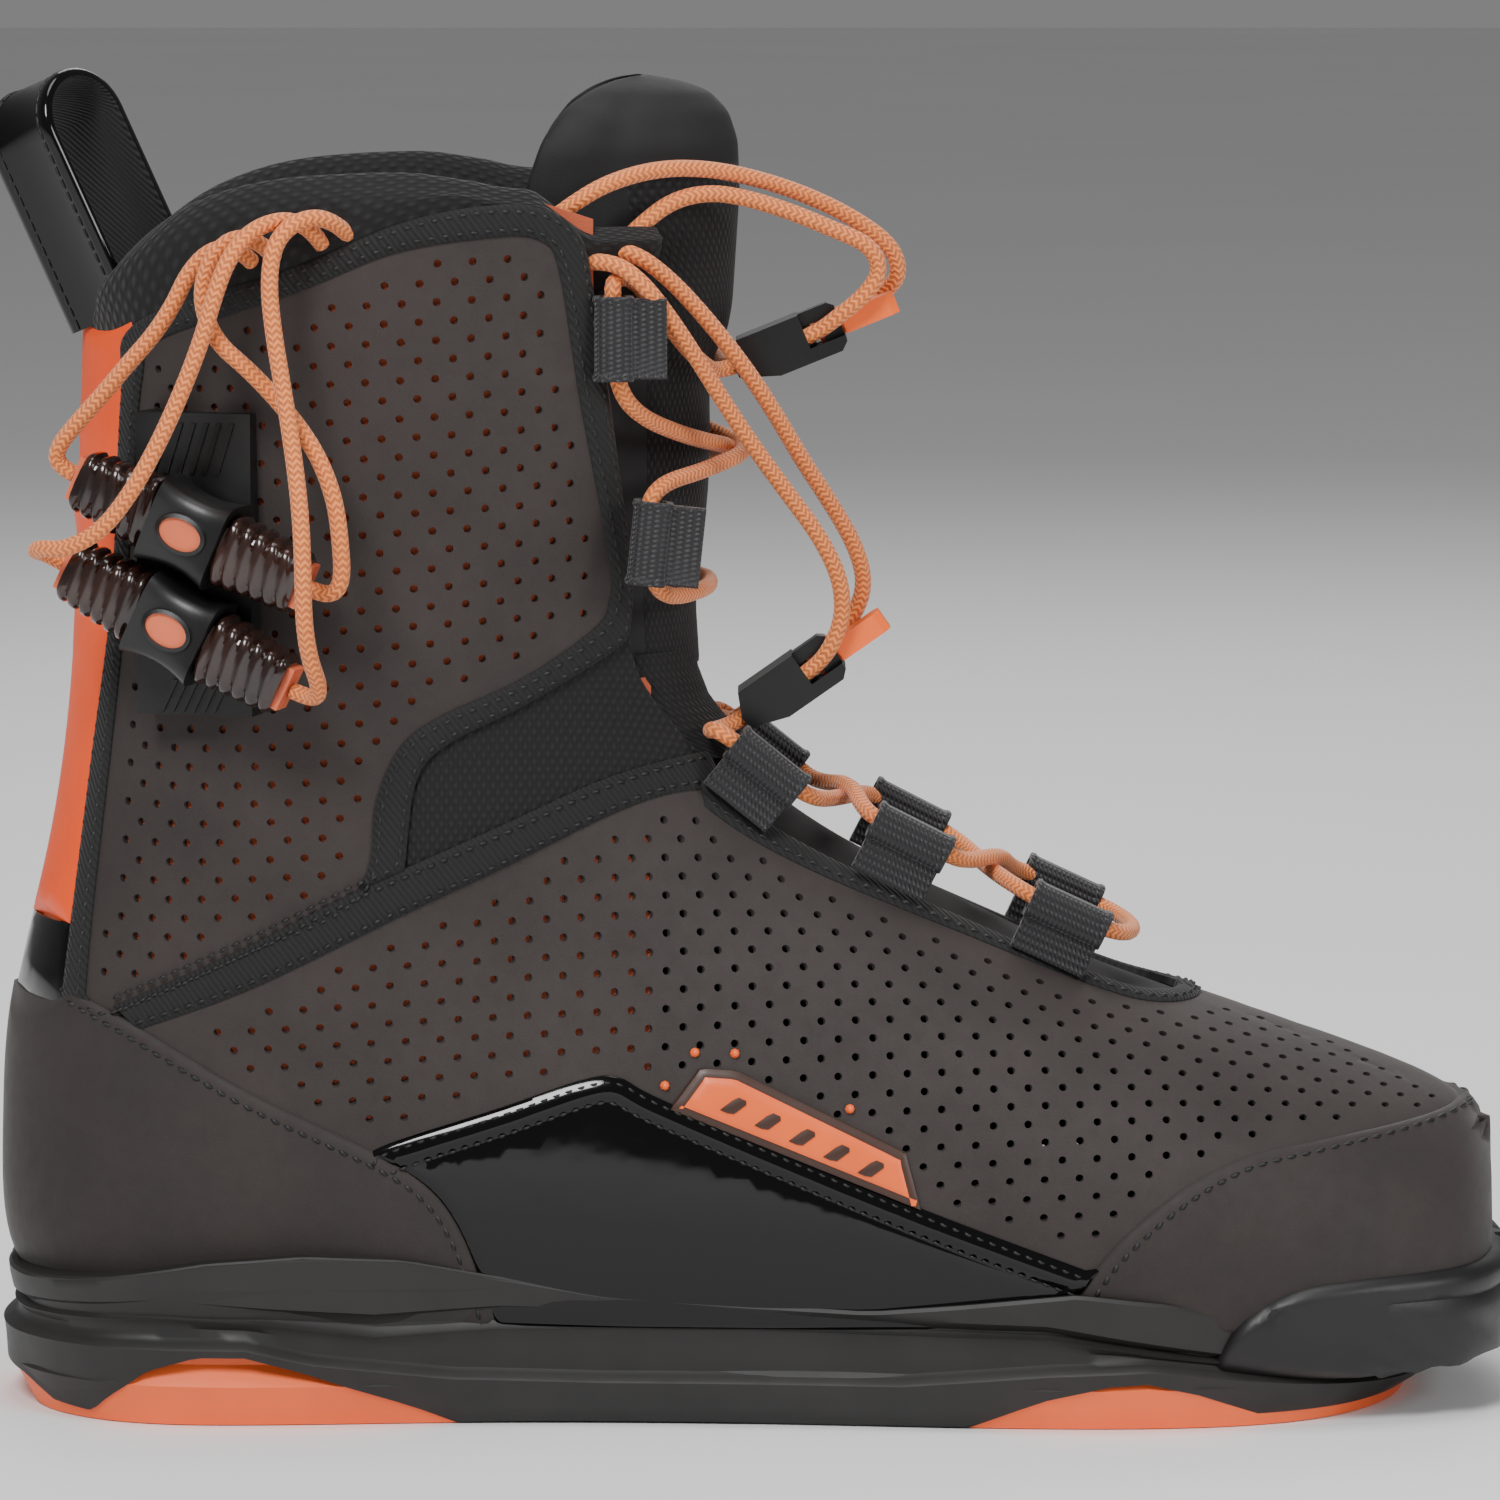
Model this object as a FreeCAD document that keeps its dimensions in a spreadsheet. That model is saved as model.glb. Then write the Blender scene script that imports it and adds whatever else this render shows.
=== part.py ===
"""One wakeboard boot, right foot: closed toe, sculpted chassis that bolts to a board, two lacing
zones with quick locks, and two lace handles parked in a dock behind the ankle.

Frame: millimetres, +X towards the toe, +Y towards the inner (medial) side, +Z up. The origin is the
middle of the four board bolts on the underside of the sole. The upper is built as thin layers between
offsets of one smooth body surface; each panel is the part of a layer inside its own side outline."""

import FreeCAD, Part
import Sketcher
import math
import os
from FreeCAD import Placement, Rotation, Vector

DIMENSIONS = {
    # upper: depths of the layers below the body surface
    "panel_depth": 1.6,
    "underlay_top": 1.7,
    "underlay_bottom": 3.6,
    "liner_top": 3.8,
    "liner_bottom": 8.0,
    "layer_gap": 0.2,
    "badge_height": 1.4,
    "bumper_height": 2.6,
    "collar_depth": 9.0,
    "collar_overlap": 8.0,
    # chassis and board plate
    "chassis_heel_width": 92.0,
    "chassis_toe_width": 108.0,
    "pad_depth": 9.0,
    "plate_length": 188.0,
    "plate_width": 68.0,
    "plate_thickness": 4.0,
    "plate_bottom": 7.0,
    "plate_corner": 22.0,
    "bolt_spacing_x": 152.4,
    "bolt_spacing_y": 50.8,
    "bolt_hole_radius": 3.3,
    # laces and their webbing loops
    "lace_diameter": 3.4,
    "loop_length": 16.0,
    "loop_depth": 7.5,
    "loop_height": 6.5,
    "loop_wall": 1.1,
    # lace locks
    "lock_length": 23.0,
    "lock_width": 13.0,
    "lock_height": 10.0,
    "lock_bore": 4.4,
    "lock_bore_spacing": 7.2,
    "lock_end_slot": 7.5,
    "wedge_length": 17.0,
    "wedge_width": 8.0,
    "wedge_height": 4.4,
    "wedge_depth_in_lock": 5.0,
    "wedge_neck_width": 2.6,
    # handles and dock
    "handle_length": 52.0,
    "handle_core_width": 9.0,
    "handle_core_height": 6.0,
    "grip_length": 17.0,
    "grip_width": 14.0,
    "grip_height": 12.0,
    "clip_length": 15.0,
    "clip_width": 17.0,
    "clip_height": 14.0,
    "dock_width": 24.0,
    "dock_height": 60.0,
    "dock_depth": 4.0,
    # heel pull loop
    "strap_width": 19.0,
    "strap_thickness": 2.2,
    "strap_bend_radius": 11.0,
    "strap_leg": 38.0,
}

# Body surface: one row per section from toe to collar, as x and z of its lower (or rear) end, x and z of
# its upper (or front) end, its half width, and how far it has turned from a foot to a leg section.
SECTIONS = [
    (149.5, 14, 149.5, 55, 20, 0), (148, 12, 147.5, 60, 34, 0), (139, 12, 139, 65, 43, 0),
    (118, 12, 118, 72.5, 50, 0), (92, 13.5, 95, 80.5, 53, 0), (62, 15, 70, 89, 51.5, 0),
    (28, 16, 46, 101, 48, 0), (-12, 16.5, 24, 112, 44.5, 0), (-55, 17, 7, 122.5, 42.5, 0),
    (-100, 16, -4, 134, 41, 0.05), (-136, 14, -9.5, 146, 40, 0.35), (-153.5, 26, -11, 157, 39.5, 0.9),
    (-152.5, 54, -11, 167, 39.5, 1), (-152, 80, -9.5, 179, 40, 1), (-143, 110, -7, 190, 42, 1),
    (-137.5, 145, -4.5, 204, 45, 1), (-136, 190, -3, 222, 48, 1), (-134.5, 232, -2.5, 240, 50, 1),
    (-134, 262, -2.5, 262, 50.5, 1), (-134, 285, -2.5, 285, 50.5, 1),
]
FOOT_HALF = [
    (0, 0), (0, 0.45), (0, 0.86), (0.14, 0.975), (0.34, 1), (0.58, 0.93), (0.79, 0.73), (0.94, 0.4), (1, 0),
]
LEG_HALF = [
    (0, 0), (0.035, 0.36), (0.13, 0.69), (0.3, 0.93), (0.5, 1),
    (0.7, 0.93), (0.87, 0.68), (0.965, 0.36), (1, 0),
]
TOE_SWING = 5.0

# Side outlines (x, z) of the upper's pieces.
HEEL_TOP = [
    (-148, 86), (-137, 86), (-123, 79.5), (-99, 66.5),
    (-73.5, 54.5), (-63.5, 47.5), (-57.5, 38.5), (-53, 26),
]
TOE_CAP_EDGE = [
    (63, 20), (66.5, 28.5), (73.5, 38), (85.5, 48), (99, 54.5), (115, 57), (129, 58.5), (160, 62),
]
BUMPER_EDGE = [(93, 16), (99, 23), (109, 29.5), (121, 31.5), (165, 38.5)]
SIDE_PANEL_EDGE = [
    (-80, 50), (-73.5, 56.5), (-49.5, 64.5), (-33.5, 70),
    (-26, 70.5), (-16, 65.5), (30, 46.5), (67.5, 32.5),
]
BADGE = [(-16, 65.2), (-10, 72.5), (-3, 72), (28, 57.5), (31, 56), (33.5, 45.5)]
SEAM_LOWER = [(-123, 79), (-99, 88.5), (-69.5, 103), (-49.5, 112), (-30, 121), (-18, 125), (-8, 126)]
SEAM_UPPER = [(-128, 83.5), (-101, 96.5), (-78.5, 108), (-49.5, 120.5), (-30, 128.5), (-16, 132), (-8, 133)]
CUFF_PANEL = [
    (-134, 85), (-132, 106), (-126, 156), (-123, 190), (-121, 210), (-117, 218), (-89.5, 228), (-69.5, 236),
    (-49.5, 239), (-41, 238), (-37.5, 232), (-33.5, 206),
    (-28, 174), (-28, 165), (-31, 159.5), (-45.5, 150),
    (-61.5, 143), (-69.5, 137), (-74.5, 126), (-78.5, 108), (-101, 96.5), (-128, 83.5),
]
CUFF_OUTER = [
    (-139, 84), (-133, 130), (-128, 166), (-125.5, 206),
    (-122, 221), (-89.5, 233), (-69.5, 241.5), (-53.5, 245),
    (-41, 244.5), (-33.5, 239), (-31, 228), (-28, 206), (-24, 174), (-24, 160), (-27, 155), (-45.5, 144.5),
    (-60, 137.5), (-66.5, 130), (-69, 112), (-78.5, 108), (-101, 96.5), (-128, 83.5),
]
FRONT_EDGE = [(-31, 300), (-31, 228), (-28, 206), (-24, 174), (-24, 160), (-21, 148), (-11, 134), (-6, 132)]
COLLAR_SEAM = [
    (-170, 222), (-122, 222), (-89.5, 234), (-69.5, 242.5), (-53.5, 246), (-41, 245.5), (-20, 238),
]
COLLAR_RIM = [
    (-134.5, 222), (-130, 231), (-122.5, 238.5), (-112, 245), (-96, 249.5), (-71.5, 250.5), (-59, 249),
    (-47, 244), (-31, 236),
]
SPINE_SPLIT = 99.0
LINER_SPLIT = 112.0
CHASSIS_TOP = [
    (-147, 27.5), (-129, 29.5), (-109, 33), (-89.5, 34.5),
    (-69.5, 33.5), (-53.5, 30.5), (-30, 26.5), (0, 24.5),
    (24, 23.5), (41.5, 25), (65.5, 27.5), (83.5, 25.5), (95.5, 22.5), (109, 15.5), (129, 11.5), (139, 5.5),
]
HEEL_PAD = [
    (-160, 9.5), (-148, 7), (-141, 2.5), (-133, 1.8), (-129, 5.5), (-121, 11.5), (-111, 14.5), (-101, 14.5),
    (-89.5, 11.5), (-69.5, 4.5), (-59, 0),
]
TOE_PAD = [(44, 0), (59.5, 6.5), (71.5, 9.5), (79.5, 10), (89.5, 7.5), (102, 2.5), (150, 2.5)]

GUSSET = [
    (-69, 112), (-66.5, 130), (-60, 137.5), (-45.5, 144.5), (-27, 155), (-24, 160), (-21, 148), (-11, 134),
    (-8, 133),
]
SOLE_LINE, FOOTBED_TOP = 20.2, 29.5
THROAT_LOW, THROAT_TOP = 60.0, 134.0
THROAT_HALF_WIDTH = 15.0
THROAT_BINDING = 4.5
THROAT_FRONT = 88.0
THROAT_REAR = -9.0
# Room inside the cuff for the tongue: half width, rear end and foot.
TONGUE_WAY, TONGUE_REAR, TONGUE_FOOT = 25.7, -42.0, 148.4

# Webbing loops on one side: x, z of the middle, distance from the middle plane, slope in degrees.
UPPER_LOOPS = [(-27.0, 218.5, 41.0, 90.0), (-20.0, 177.5, 36.5, 84.0)]
LOWER_LOOPS = [(3.5, 130.5, 19.5, -39.0), (32.5, 116.0, 19.5, -27.0), (64.5, 100.0, 19.5, -25.0)]

# Lower left end of each lace lock and the rise of its long axis in degrees.
LOCKS = {"upper": (Vector(-3, -5, 210.6), 22.0), "lower": (Vector(-1.4, -3, 139), 35.0)}
DOCK_CENTRE = Vector(-109.0, -40.5, 173.0)
DOCK_TURN = -16.0
HANDLES = {"upper": (Vector(-106.5, 0, 181.3), -23.5), "lower": (Vector(-109.6, 0, 162.3), -26.5)}
HANDLE_STANDOFF = 11.5
# Heel pull loop: middle of its bend, turns about Y and Z, and the pieces it is stitched between.
STRAP_BEND = Vector(-139.5, -5.5, 257.5)
STRAP_LEAN, STRAP_TURN = -24.0, 50.0
STRAP_NEIGHBOURS = (
    "collar", "heel_spine_strip", "cuff_binding_lateral", "cuff_binding_medial", "foam_underlay", "liner_cuff",
    "cuff_panel_lateral", "cuff_panel_medial",
)

doc = FreeCAD.newDocument("wakeboard_boot")
sheet = doc.addObject("Spreadsheet::Sheet", "dims")
for row, (alias, value) in enumerate(DIMENSIONS.items(), start=1):
    sheet.set(f"A{row}", alias)
    sheet.set(f"B{row}", str(value))
    sheet.setAlias(f"B{row}", alias)
doc.recompute()
pieces = []


def dim(alias):
    return float(sheet.get(alias))


def keep(piece):
    pieces.append(piece)
    return piece


# ---------------------------------------------------------------- the body surface


def swing(x):
    """Middle line of the foot in plan: the toe end bends towards the inner side."""
    part = min(1.0, max(0.0, (x + 20) / 130))
    return TOE_SWING * part * part * (3 - 2 * part)


def section_ends(index, depth):
    """Ends, half width and turn of one section of the surface set in by depth."""
    low_x, low_z, high_x, high_z, half_width, turn = SECTIONS[index]
    before, after = SECTIONS[max(0, index - 1)], SECTIONS[min(len(SECTIONS) - 1, index + 1)]
    chord = Vector(high_x - low_x, 0, high_z - low_z)
    inward = []
    for column, towards in ((0, 1), (2, -1)):
        normal = Vector(before[column + 1] - after[column + 1], 0, after[column] - before[column])
        normal.normalize()
        inward.append(normal if normal.dot(chord) * towards > 0 else normal * -1)
    nose = Vector(-depth * max(0.0, 1 - index / 3), 0, 0)
    low = Vector(low_x, 0, low_z) + inward[0] * depth + nose
    high = Vector(high_x, 0, high_z) + inward[1] * depth + nose
    return low, high, half_width - depth, turn


def section_ring(index, depth):
    low, high, half_width, turn = section_ends(index, depth)
    lateral, medial = [], []
    for (foot_along, foot_wide), (leg_along, leg_wide) in zip(FOOT_HALF, LEG_HALF):
        point = low + (high - low) * (foot_along + (leg_along - foot_along) * turn)
        wide = (foot_wide + (leg_wide - foot_wide) * turn) * half_width
        lateral.append(Vector(point.x, swing(point.x) - wide, point.z))
        medial.append(Vector(point.x, swing(point.x) + wide, point.z))
    return lateral + medial[-2:0:-1]


def ring_poles(points):
    """Poles of the closed uniform cubic curve through the points, found by repeated correction."""
    poles, count = list(points), len(points)
    for _ in range(30):
        curve = [(poles[k - 1] + poles[k] * 4 + poles[(k + 1) % count]) * (1 / 6) for k in range(count)]
        poles = [pole + point - on for pole, point, on in zip(poles, points, curve)]
    return poles


def body_surface(depth):
    poles = [ring_poles(section_ring(index, depth)) for index in range(len(SECTIONS))]
    rows, columns = len(poles), len(poles[0])
    surface = Part.BSplineSurface()
    surface.buildFromPolesMultsKnots(
        poles,
        [4] + [1] * (rows - 4) + [4],
        [1] * (columns + 1),
        [float(k) for k in range(rows - 2)],
        [float(k) for k in range(columns + 1)],
        False,
        True,
        3,
        3,
    )
    return surface


body_solids = {}


def body_solid(depth):
    if depth not in body_solids:
        surface = body_surface(depth)
        first, last = surface.bounds()[:2]
        caps = [Part.Face(Part.Wire([surface.uIso(end).toShape()])) for end in (first, last)]
        shell = Part.makeShell([surface.toShape()] + caps)
        shell.sewShape()
        solid = Part.Solid(shell)
        if solid.Volume < 0:
            solid.reverse()
        body_solids[depth] = solid
    return body_solids[depth]


def layer(top, bottom):
    return body_solid(top).cut(body_solid(bottom))


# ---------------------------------------------------------------- outlines and prisms

REACH = 200.0


def side_face(points):
    """Flat face in the side view from (x, z) corners."""
    corners = [Vector(x, 0, z) for x, z in points]
    return Part.Face(Part.makePolygon(corners + corners[:1]))


def prism(face, low=-REACH, high=REACH):
    solid = face.copy()
    solid.translate(Vector(0, low, 0))
    return solid.extrude(Vector(0, high - low, 0))


def below(line, floor=-REACH):
    return side_face(line + [(line[-1][0], floor), (line[0][0], floor)])


def above(line):
    return side_face(line + [(line[-1][0], 2 * REACH), (line[0][0], 2 * REACH)])


def behind(line):
    return side_face([(-2 * REACH, line[0][1])] + line + [(-2 * REACH, line[-1][1])])


def throat_plan(half_width, front):
    """Upright prism of the lacing opening: a slot along the instep with a round front end."""
    rear, bend = THROAT_REAR - half_width, front - half_width
    bow = Part.Arc(
        Vector(bend, swing(bend) - half_width, 0),
        Vector(front, swing(front), 0),
        Vector(bend, swing(bend) + half_width, 0),
    )
    sides = []
    for sign in (1, -1):
        xs = [bend, 0.5 * (bend + 30), 30, 0, rear]
        curve = Part.BSplineCurve()
        curve.interpolate([Vector(x, swing(x) + sign * half_width, 0) for x in xs])
        sides.append(curve.toShape())
    back = Part.makeLine(Vector(rear, swing(rear) + half_width, 0),
                         Vector(rear, swing(rear) - half_width, 0))
    face = Part.Face(Part.Wire(Part.__sortEdges__([bow.toShape(), *sides, back])))
    return face.extrude(Vector(0, 0, 2 * REACH))


def one_solid(shape):
    solids = sorted(shape.Solids, key=lambda solid: solid.Volume)
    return solids[-1]


def both_halves(shape):
    """The lateral and the medial half of a symmetrical piece."""
    wall = Part.makeBox(4 * REACH, REACH, 4 * REACH, Vector(-2 * REACH, 0.05, -REACH))
    return {"lateral": shape.cut(wall), "medial": shape.common(wall)}


def shaped(label, shape):
    piece = doc.addObject("Part::Feature", label)
    piece.Label = label
    piece.Shape = shape
    return keep(piece)


# ---------------------------------------------------------------- sole

CHASSIS_LEVELS = [(0.0, -4.5), (8.5, 0.0), (12.5, -3.5), (21.0, -3.0), (28.0, -0.5), (40.0, 0.0)]


def chassis_outline(level, offset):
    """Plan outline of the chassis at one height: round heel, slim waist, wide forefoot."""
    heel, toe = dim("chassis_heel_width") / 2 + offset, dim("chassis_toe_width") / 2 + offset
    waist = 0.93 * heel
    stations = [
        (-152.5 - offset, 0), (-147 - 0.7 * offset, 0.52 * heel), (-128, 0.9 * heel),
        (-98, heel), (-50, waist),
        (0, 0.97 * heel), (50, 0.96 * toe), (82, toe), (112, 0.84 * toe), (131 + 0.7 * offset, 0.5 * toe),
        (139 + offset, 0),
    ]
    medial = [Vector(x, swing(x) + y, level) for x, y in stations]
    lateral = [Vector(x, swing(x) - y, level) for x, y in stations[-2:0:-1]]
    curve = Part.BSplineCurve()
    curve.interpolate(medial + lateral, PeriodicFlag=True)
    return Part.Wire([curve.toShape()])


def make_sole():
    blank = Part.makeLoft([chassis_outline(level, offset) for level, offset in CHASSIS_LEVELS], True, True)
    profile = side_face([(-200, 0)] + [(-200, 27.5)] + CHASSIS_TOP + [(200, 5.5), (200, 0)])
    blank = blank.common(prism(profile))
    gap = dim("layer_gap")
    blank = blank.cut(body_solid(-gap))
    nose = body_solid(-2.6 - gap).common(Part.makeBox(90, 2 * REACH, REACH, Vector(92, -REACH, 0)))
    blank = blank.cut(nose)
    pocket_top = Part.makeBox(300, 200, 60, Vector(-150, -100, dim("plate_bottom")))
    pocket = plate_outline_solid(0.2).common(pocket_top)
    pads = {"heel_pad": prism(side_face(HEEL_PAD + [(-59, -5), (-160, -5)])),
            "toe_pad": prism(side_face(TOE_PAD + [(150, -5), (44, -5)]))}
    core = Part.makeLoft([chassis_outline(level, offset - dim("pad_depth"))
                          for level, offset in ((-1.0, 0.0), (60.0, 0.0))], True, True)
    holes = Part.makeCompound([Part.makeCylinder(dim("bolt_hole_radius"), 60, Vector(x, y, -5))
                               for x, y in bolt_points()])
    rest = blank.cut(pocket).cut(holes)
    for label, region in pads.items():
        rim = rest.common(region).cut(core)
        shaped(label, one_solid(rim))
        rest = rest.cut(rim)
    shaped("chassis", one_solid(rest))


def bolt_points():
    half_x, half_y = dim("bolt_spacing_x") / 2, dim("bolt_spacing_y") / 2
    return [(x, y) for x in (-half_x, half_x) for y in (-half_y, half_y)]


def plate_outline_solid(clearance):
    length, width = dim("plate_length") + 2 * clearance, dim("plate_width") + 2 * clearance
    box = Part.makeBox(length, width, 60, Vector(-length / 2, -width / 2, 0))
    upright = [edge for edge in box.Edges if abs(edge.Vertexes[0].Z - edge.Vertexes[-1].Z) > 1]
    return box.makeFillet(dim("plate_corner"), upright)


# ---------------------------------------------------------------- sketched bodies


def new_body(label):
    body = doc.addObject("PartDesign::Body", label)
    body.Label = label
    return keep(body)


def new_sketch(body, name, plane, offset=0.0):
    sketch = body.newObject("Sketcher::SketchObject", f"{body.Name}_{name}")
    support = next(item for item in body.Origin.OriginFeatures if item.Role == plane)
    sketch.AttachmentSupport = (support, [""])
    sketch.MapMode = "FlatFace"
    sketch.AttachmentOffset = Placement(Vector(0, 0, offset), Rotation())
    return sketch


def add_loop(sketch, corners):
    """Closed outline of straight lines through the corners, joined end to end."""
    first = sketch.GeometryCount
    points = [Vector(a, b, 0) for a, b in corners]
    for start, end in zip(points, points[1:] + points[:1]):
        sketch.addGeometry(Part.LineSegment(start, end), False)
    count = len(points)
    for k in range(count):
        sketch.addConstraint(Sketcher.Constraint("Coincident", first + k, 2, first + (k + 1) % count, 1))
    return first


def add_rectangle(sketch, width, height, centre=(0.0, 0.0)):
    """Rectangle whose width and height are cells of the sheet, given by alias."""
    half_w, half_h = dim(width) / 2, dim(height) / 2
    cx, cy = centre
    signs = ((-1, -1), (1, -1), (1, 1), (-1, 1))
    corners = [(cx + right * half_w, cy + up * half_h) for right, up in signs]
    first = add_loop(sketch, corners)
    for side, rule in enumerate(("Horizontal", "Vertical", "Horizontal", "Vertical")):
        sketch.addConstraint(Sketcher.Constraint(rule, first + side))
    wide = sketch.addConstraint(Sketcher.Constraint("DistanceX", first, 1, first, 2, 2 * half_w))
    tall = sketch.addConstraint(Sketcher.Constraint("DistanceY", first + 1, 1, first + 1, 2, 2 * half_h))
    sketch.setExpression(f"Constraints[{wide}]", f"dims.{width}")
    sketch.setExpression(f"Constraints[{tall}]", f"dims.{height}")
    sketch.addConstraint(Sketcher.Constraint("DistanceX", -1, 1, first, 1, cx - half_w))
    sketch.addConstraint(Sketcher.Constraint("DistanceY", -1, 1, first, 1, cy - half_h))


def add_circles(sketch, radius, centres):
    for x, y in centres:
        index = sketch.addGeometry(Part.Circle(Vector(x, y, 0), Vector(0, 0, 1), dim(radius)), False)
        rule = sketch.addConstraint(Sketcher.Constraint("Radius", index, dim(radius)))
        sketch.setExpression(f"Constraints[{rule}]", f"dims.{radius}")


def pad(sketch, length, symmetric=False):
    body = sketch.getParentGeoFeatureGroup()
    feature = body.newObject("PartDesign::Pad", f"{sketch.Name}_pad")
    feature.Profile = (sketch, [""])
    feature.setExpression("Length", length)
    feature.SideType = "Symmetric" if symmetric else "One side"
    doc.recompute()
    return feature


def pocket(sketch, length, symmetric=False, reverse=False):
    body = sketch.getParentGeoFeatureGroup()
    before = body.Shape.Volume
    feature = body.newObject("PartDesign::Pocket", f"{sketch.Name}_pocket")
    feature.Profile = (sketch, [""])
    feature.setExpression("Length", length)
    feature.SideType = "Symmetric" if symmetric else "One side"
    feature.Reversed = reverse
    doc.recompute()
    if body.Shape.Volume > before - 0.01:
        raise RuntimeError(f"{feature.Name} removes nothing")
    return feature


def make_baseplate():
    body = new_body("baseplate")
    outline = new_sketch(body, "outline", "XY_Plane")
    add_rectangle(outline, "plate_length", "plate_width")
    slab = pad(outline, "dims.plate_thickness")
    upright = [f"Edge{k}" for k, edge in enumerate(slab.Shape.Edges, start=1)
               if abs(edge.Vertexes[0].Z - edge.Vertexes[-1].Z) > 1]
    corners = body.newObject("PartDesign::Fillet", "baseplate_corners")
    corners.Base = (slab, upright)
    corners.setExpression("Radius", "dims.plate_corner")
    doc.recompute()
    drill = new_sketch(body, "bolts", "XY_Plane")
    add_circles(drill, "bolt_hole_radius", bolt_points())
    pocket(drill, "dims.plate_thickness * 4", symmetric=True)
    body.Placement = Placement(Vector(0, 0, dim("plate_bottom")), Rotation())


WEDGE_CHEEK, SOCKET_WALL = 2.4, 0.8


def lock_placement(which):
    start, rise = LOCKS[which]
    return Placement(start, Rotation(Vector(0, 1, 0), -rise))


def make_lock(which):
    """Lock body along local X from its lower end: two lace bores that open into slots at the upper end, and
    between them the socket for the wedge."""
    length, height = dim("lock_length"), dim("lock_height")
    bore, spacing = dim("lock_bore") / 2, dim("lock_bore_spacing") / 2
    body = new_body(f"lock_{which}_body")
    side = new_sketch(body, "side", "XZ_Plane")
    half = height / 2
    add_loop(side, [(0, 0.1 * half), (2.2, half), (length - 1.2, half), (length, 0.8 * half), (length, -0.7 * half),
                    (length - 1.6, -half), (8, -half), (0, -0.45 * half)])
    pad(side, "dims.lock_width", symmetric=True)
    bores = new_sketch(body, "bores", "YZ_Plane")
    for centre in (-spacing, spacing):
        add_rectangle(bores, "lock_bore", "lock_bore", centre=(centre, 0))
    pocket(bores, "dims.lock_length - 4", reverse=True)
    slots = new_sketch(body, "slots", "YZ_Plane", offset=length - dim("lock_end_slot"))
    inside, outside = WEDGE_CHEEK, dim("lock_width")
    for sign in (-1, 1):
        inner, outer = sign * inside, sign * outside
        corners = [(inner, -bore), (outer, -bore), (outer, height), (inner, height)]
        add_loop(slots, corners)
    pocket(slots, "dims.lock_end_slot + 2", reverse=True)
    socket = new_sketch(body, "socket", "YZ_Plane", offset=length - dim("wedge_depth_in_lock") - 1)
    wall = WEDGE_CHEEK - SOCKET_WALL
    add_loop(socket, [(-wall, -2.5), (wall, -2.5), (wall, 2.5), (-wall, 2.5)])
    pocket(socket, "dims.wedge_depth_in_lock + 3", reverse=True)
    body.Placement = lock_placement(which)


def make_wedge(which):
    """Ribbed plug whose narrow neck sits in the lock's socket."""
    body = new_body(f"lock_{which}_wedge")
    start, neck = dim("lock_length") - dim("wedge_depth_in_lock"), dim("wedge_neck_width") / 2
    shoulder, head = dim("lock_length") + 0.5, dim("wedge_width") / 2
    end = start + dim("wedge_length")
    top = new_sketch(body, "top", "XY_Plane")
    add_loop(top, [(start, -neck), (shoulder, -neck), (shoulder, -head), (end - 1.5, -head), (end, -head + 1.5),
                   (end, head - 1.5), (end - 1.5, head), (shoulder, head), (shoulder, neck), (start, neck)])
    pad(top, "dims.wedge_height", symmetric=True)
    body.Placement = lock_placement(which)


# ---------------------------------------------------------------- dock and handles


def dock_frame():
    """Local X along the shaft towards the toe, local Y straight out of the shaft's side, negated."""
    return Placement(DOCK_CENTRE, Rotation(Vector(0, 0, 1), DOCK_TURN))


def make_dock():
    box = doc.addObject("Part::Box", "dock_block")
    box.setExpression("Length", "dims.dock_width")
    box.setExpression("Width", "dims.dock_depth * 3")
    box.setExpression("Height", "dims.dock_height")
    corner = Vector(-dim("dock_width") / 2, -dim("dock_depth"), -dim("dock_height") / 2 + 1)
    box.Placement = dock_frame().multiply(Placement(corner, Rotation()))
    shaft = doc.addObject("Part::Feature", "shaft_surface")
    shaft.Shape = body_solid(-dim("layer_gap"))
    cut = doc.addObject("Part::Cut", "dock_plate")
    cut.Label = "dock_plate"
    cut.Base, cut.Tool = box, shaft
    doc.recompute()
    keep(cut)


def handle_placement(which):
    """Handle axis along local X, out of the dock along local -Y."""
    centre, slope = HANDLES[which]
    local = Vector(centre.x - DOCK_CENTRE.x, -HANDLE_STANDOFF, centre.z - DOCK_CENTRE.z)
    return dock_frame().multiply(Placement(local, Rotation(Vector(0, 1, 0), -slope)))


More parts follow.
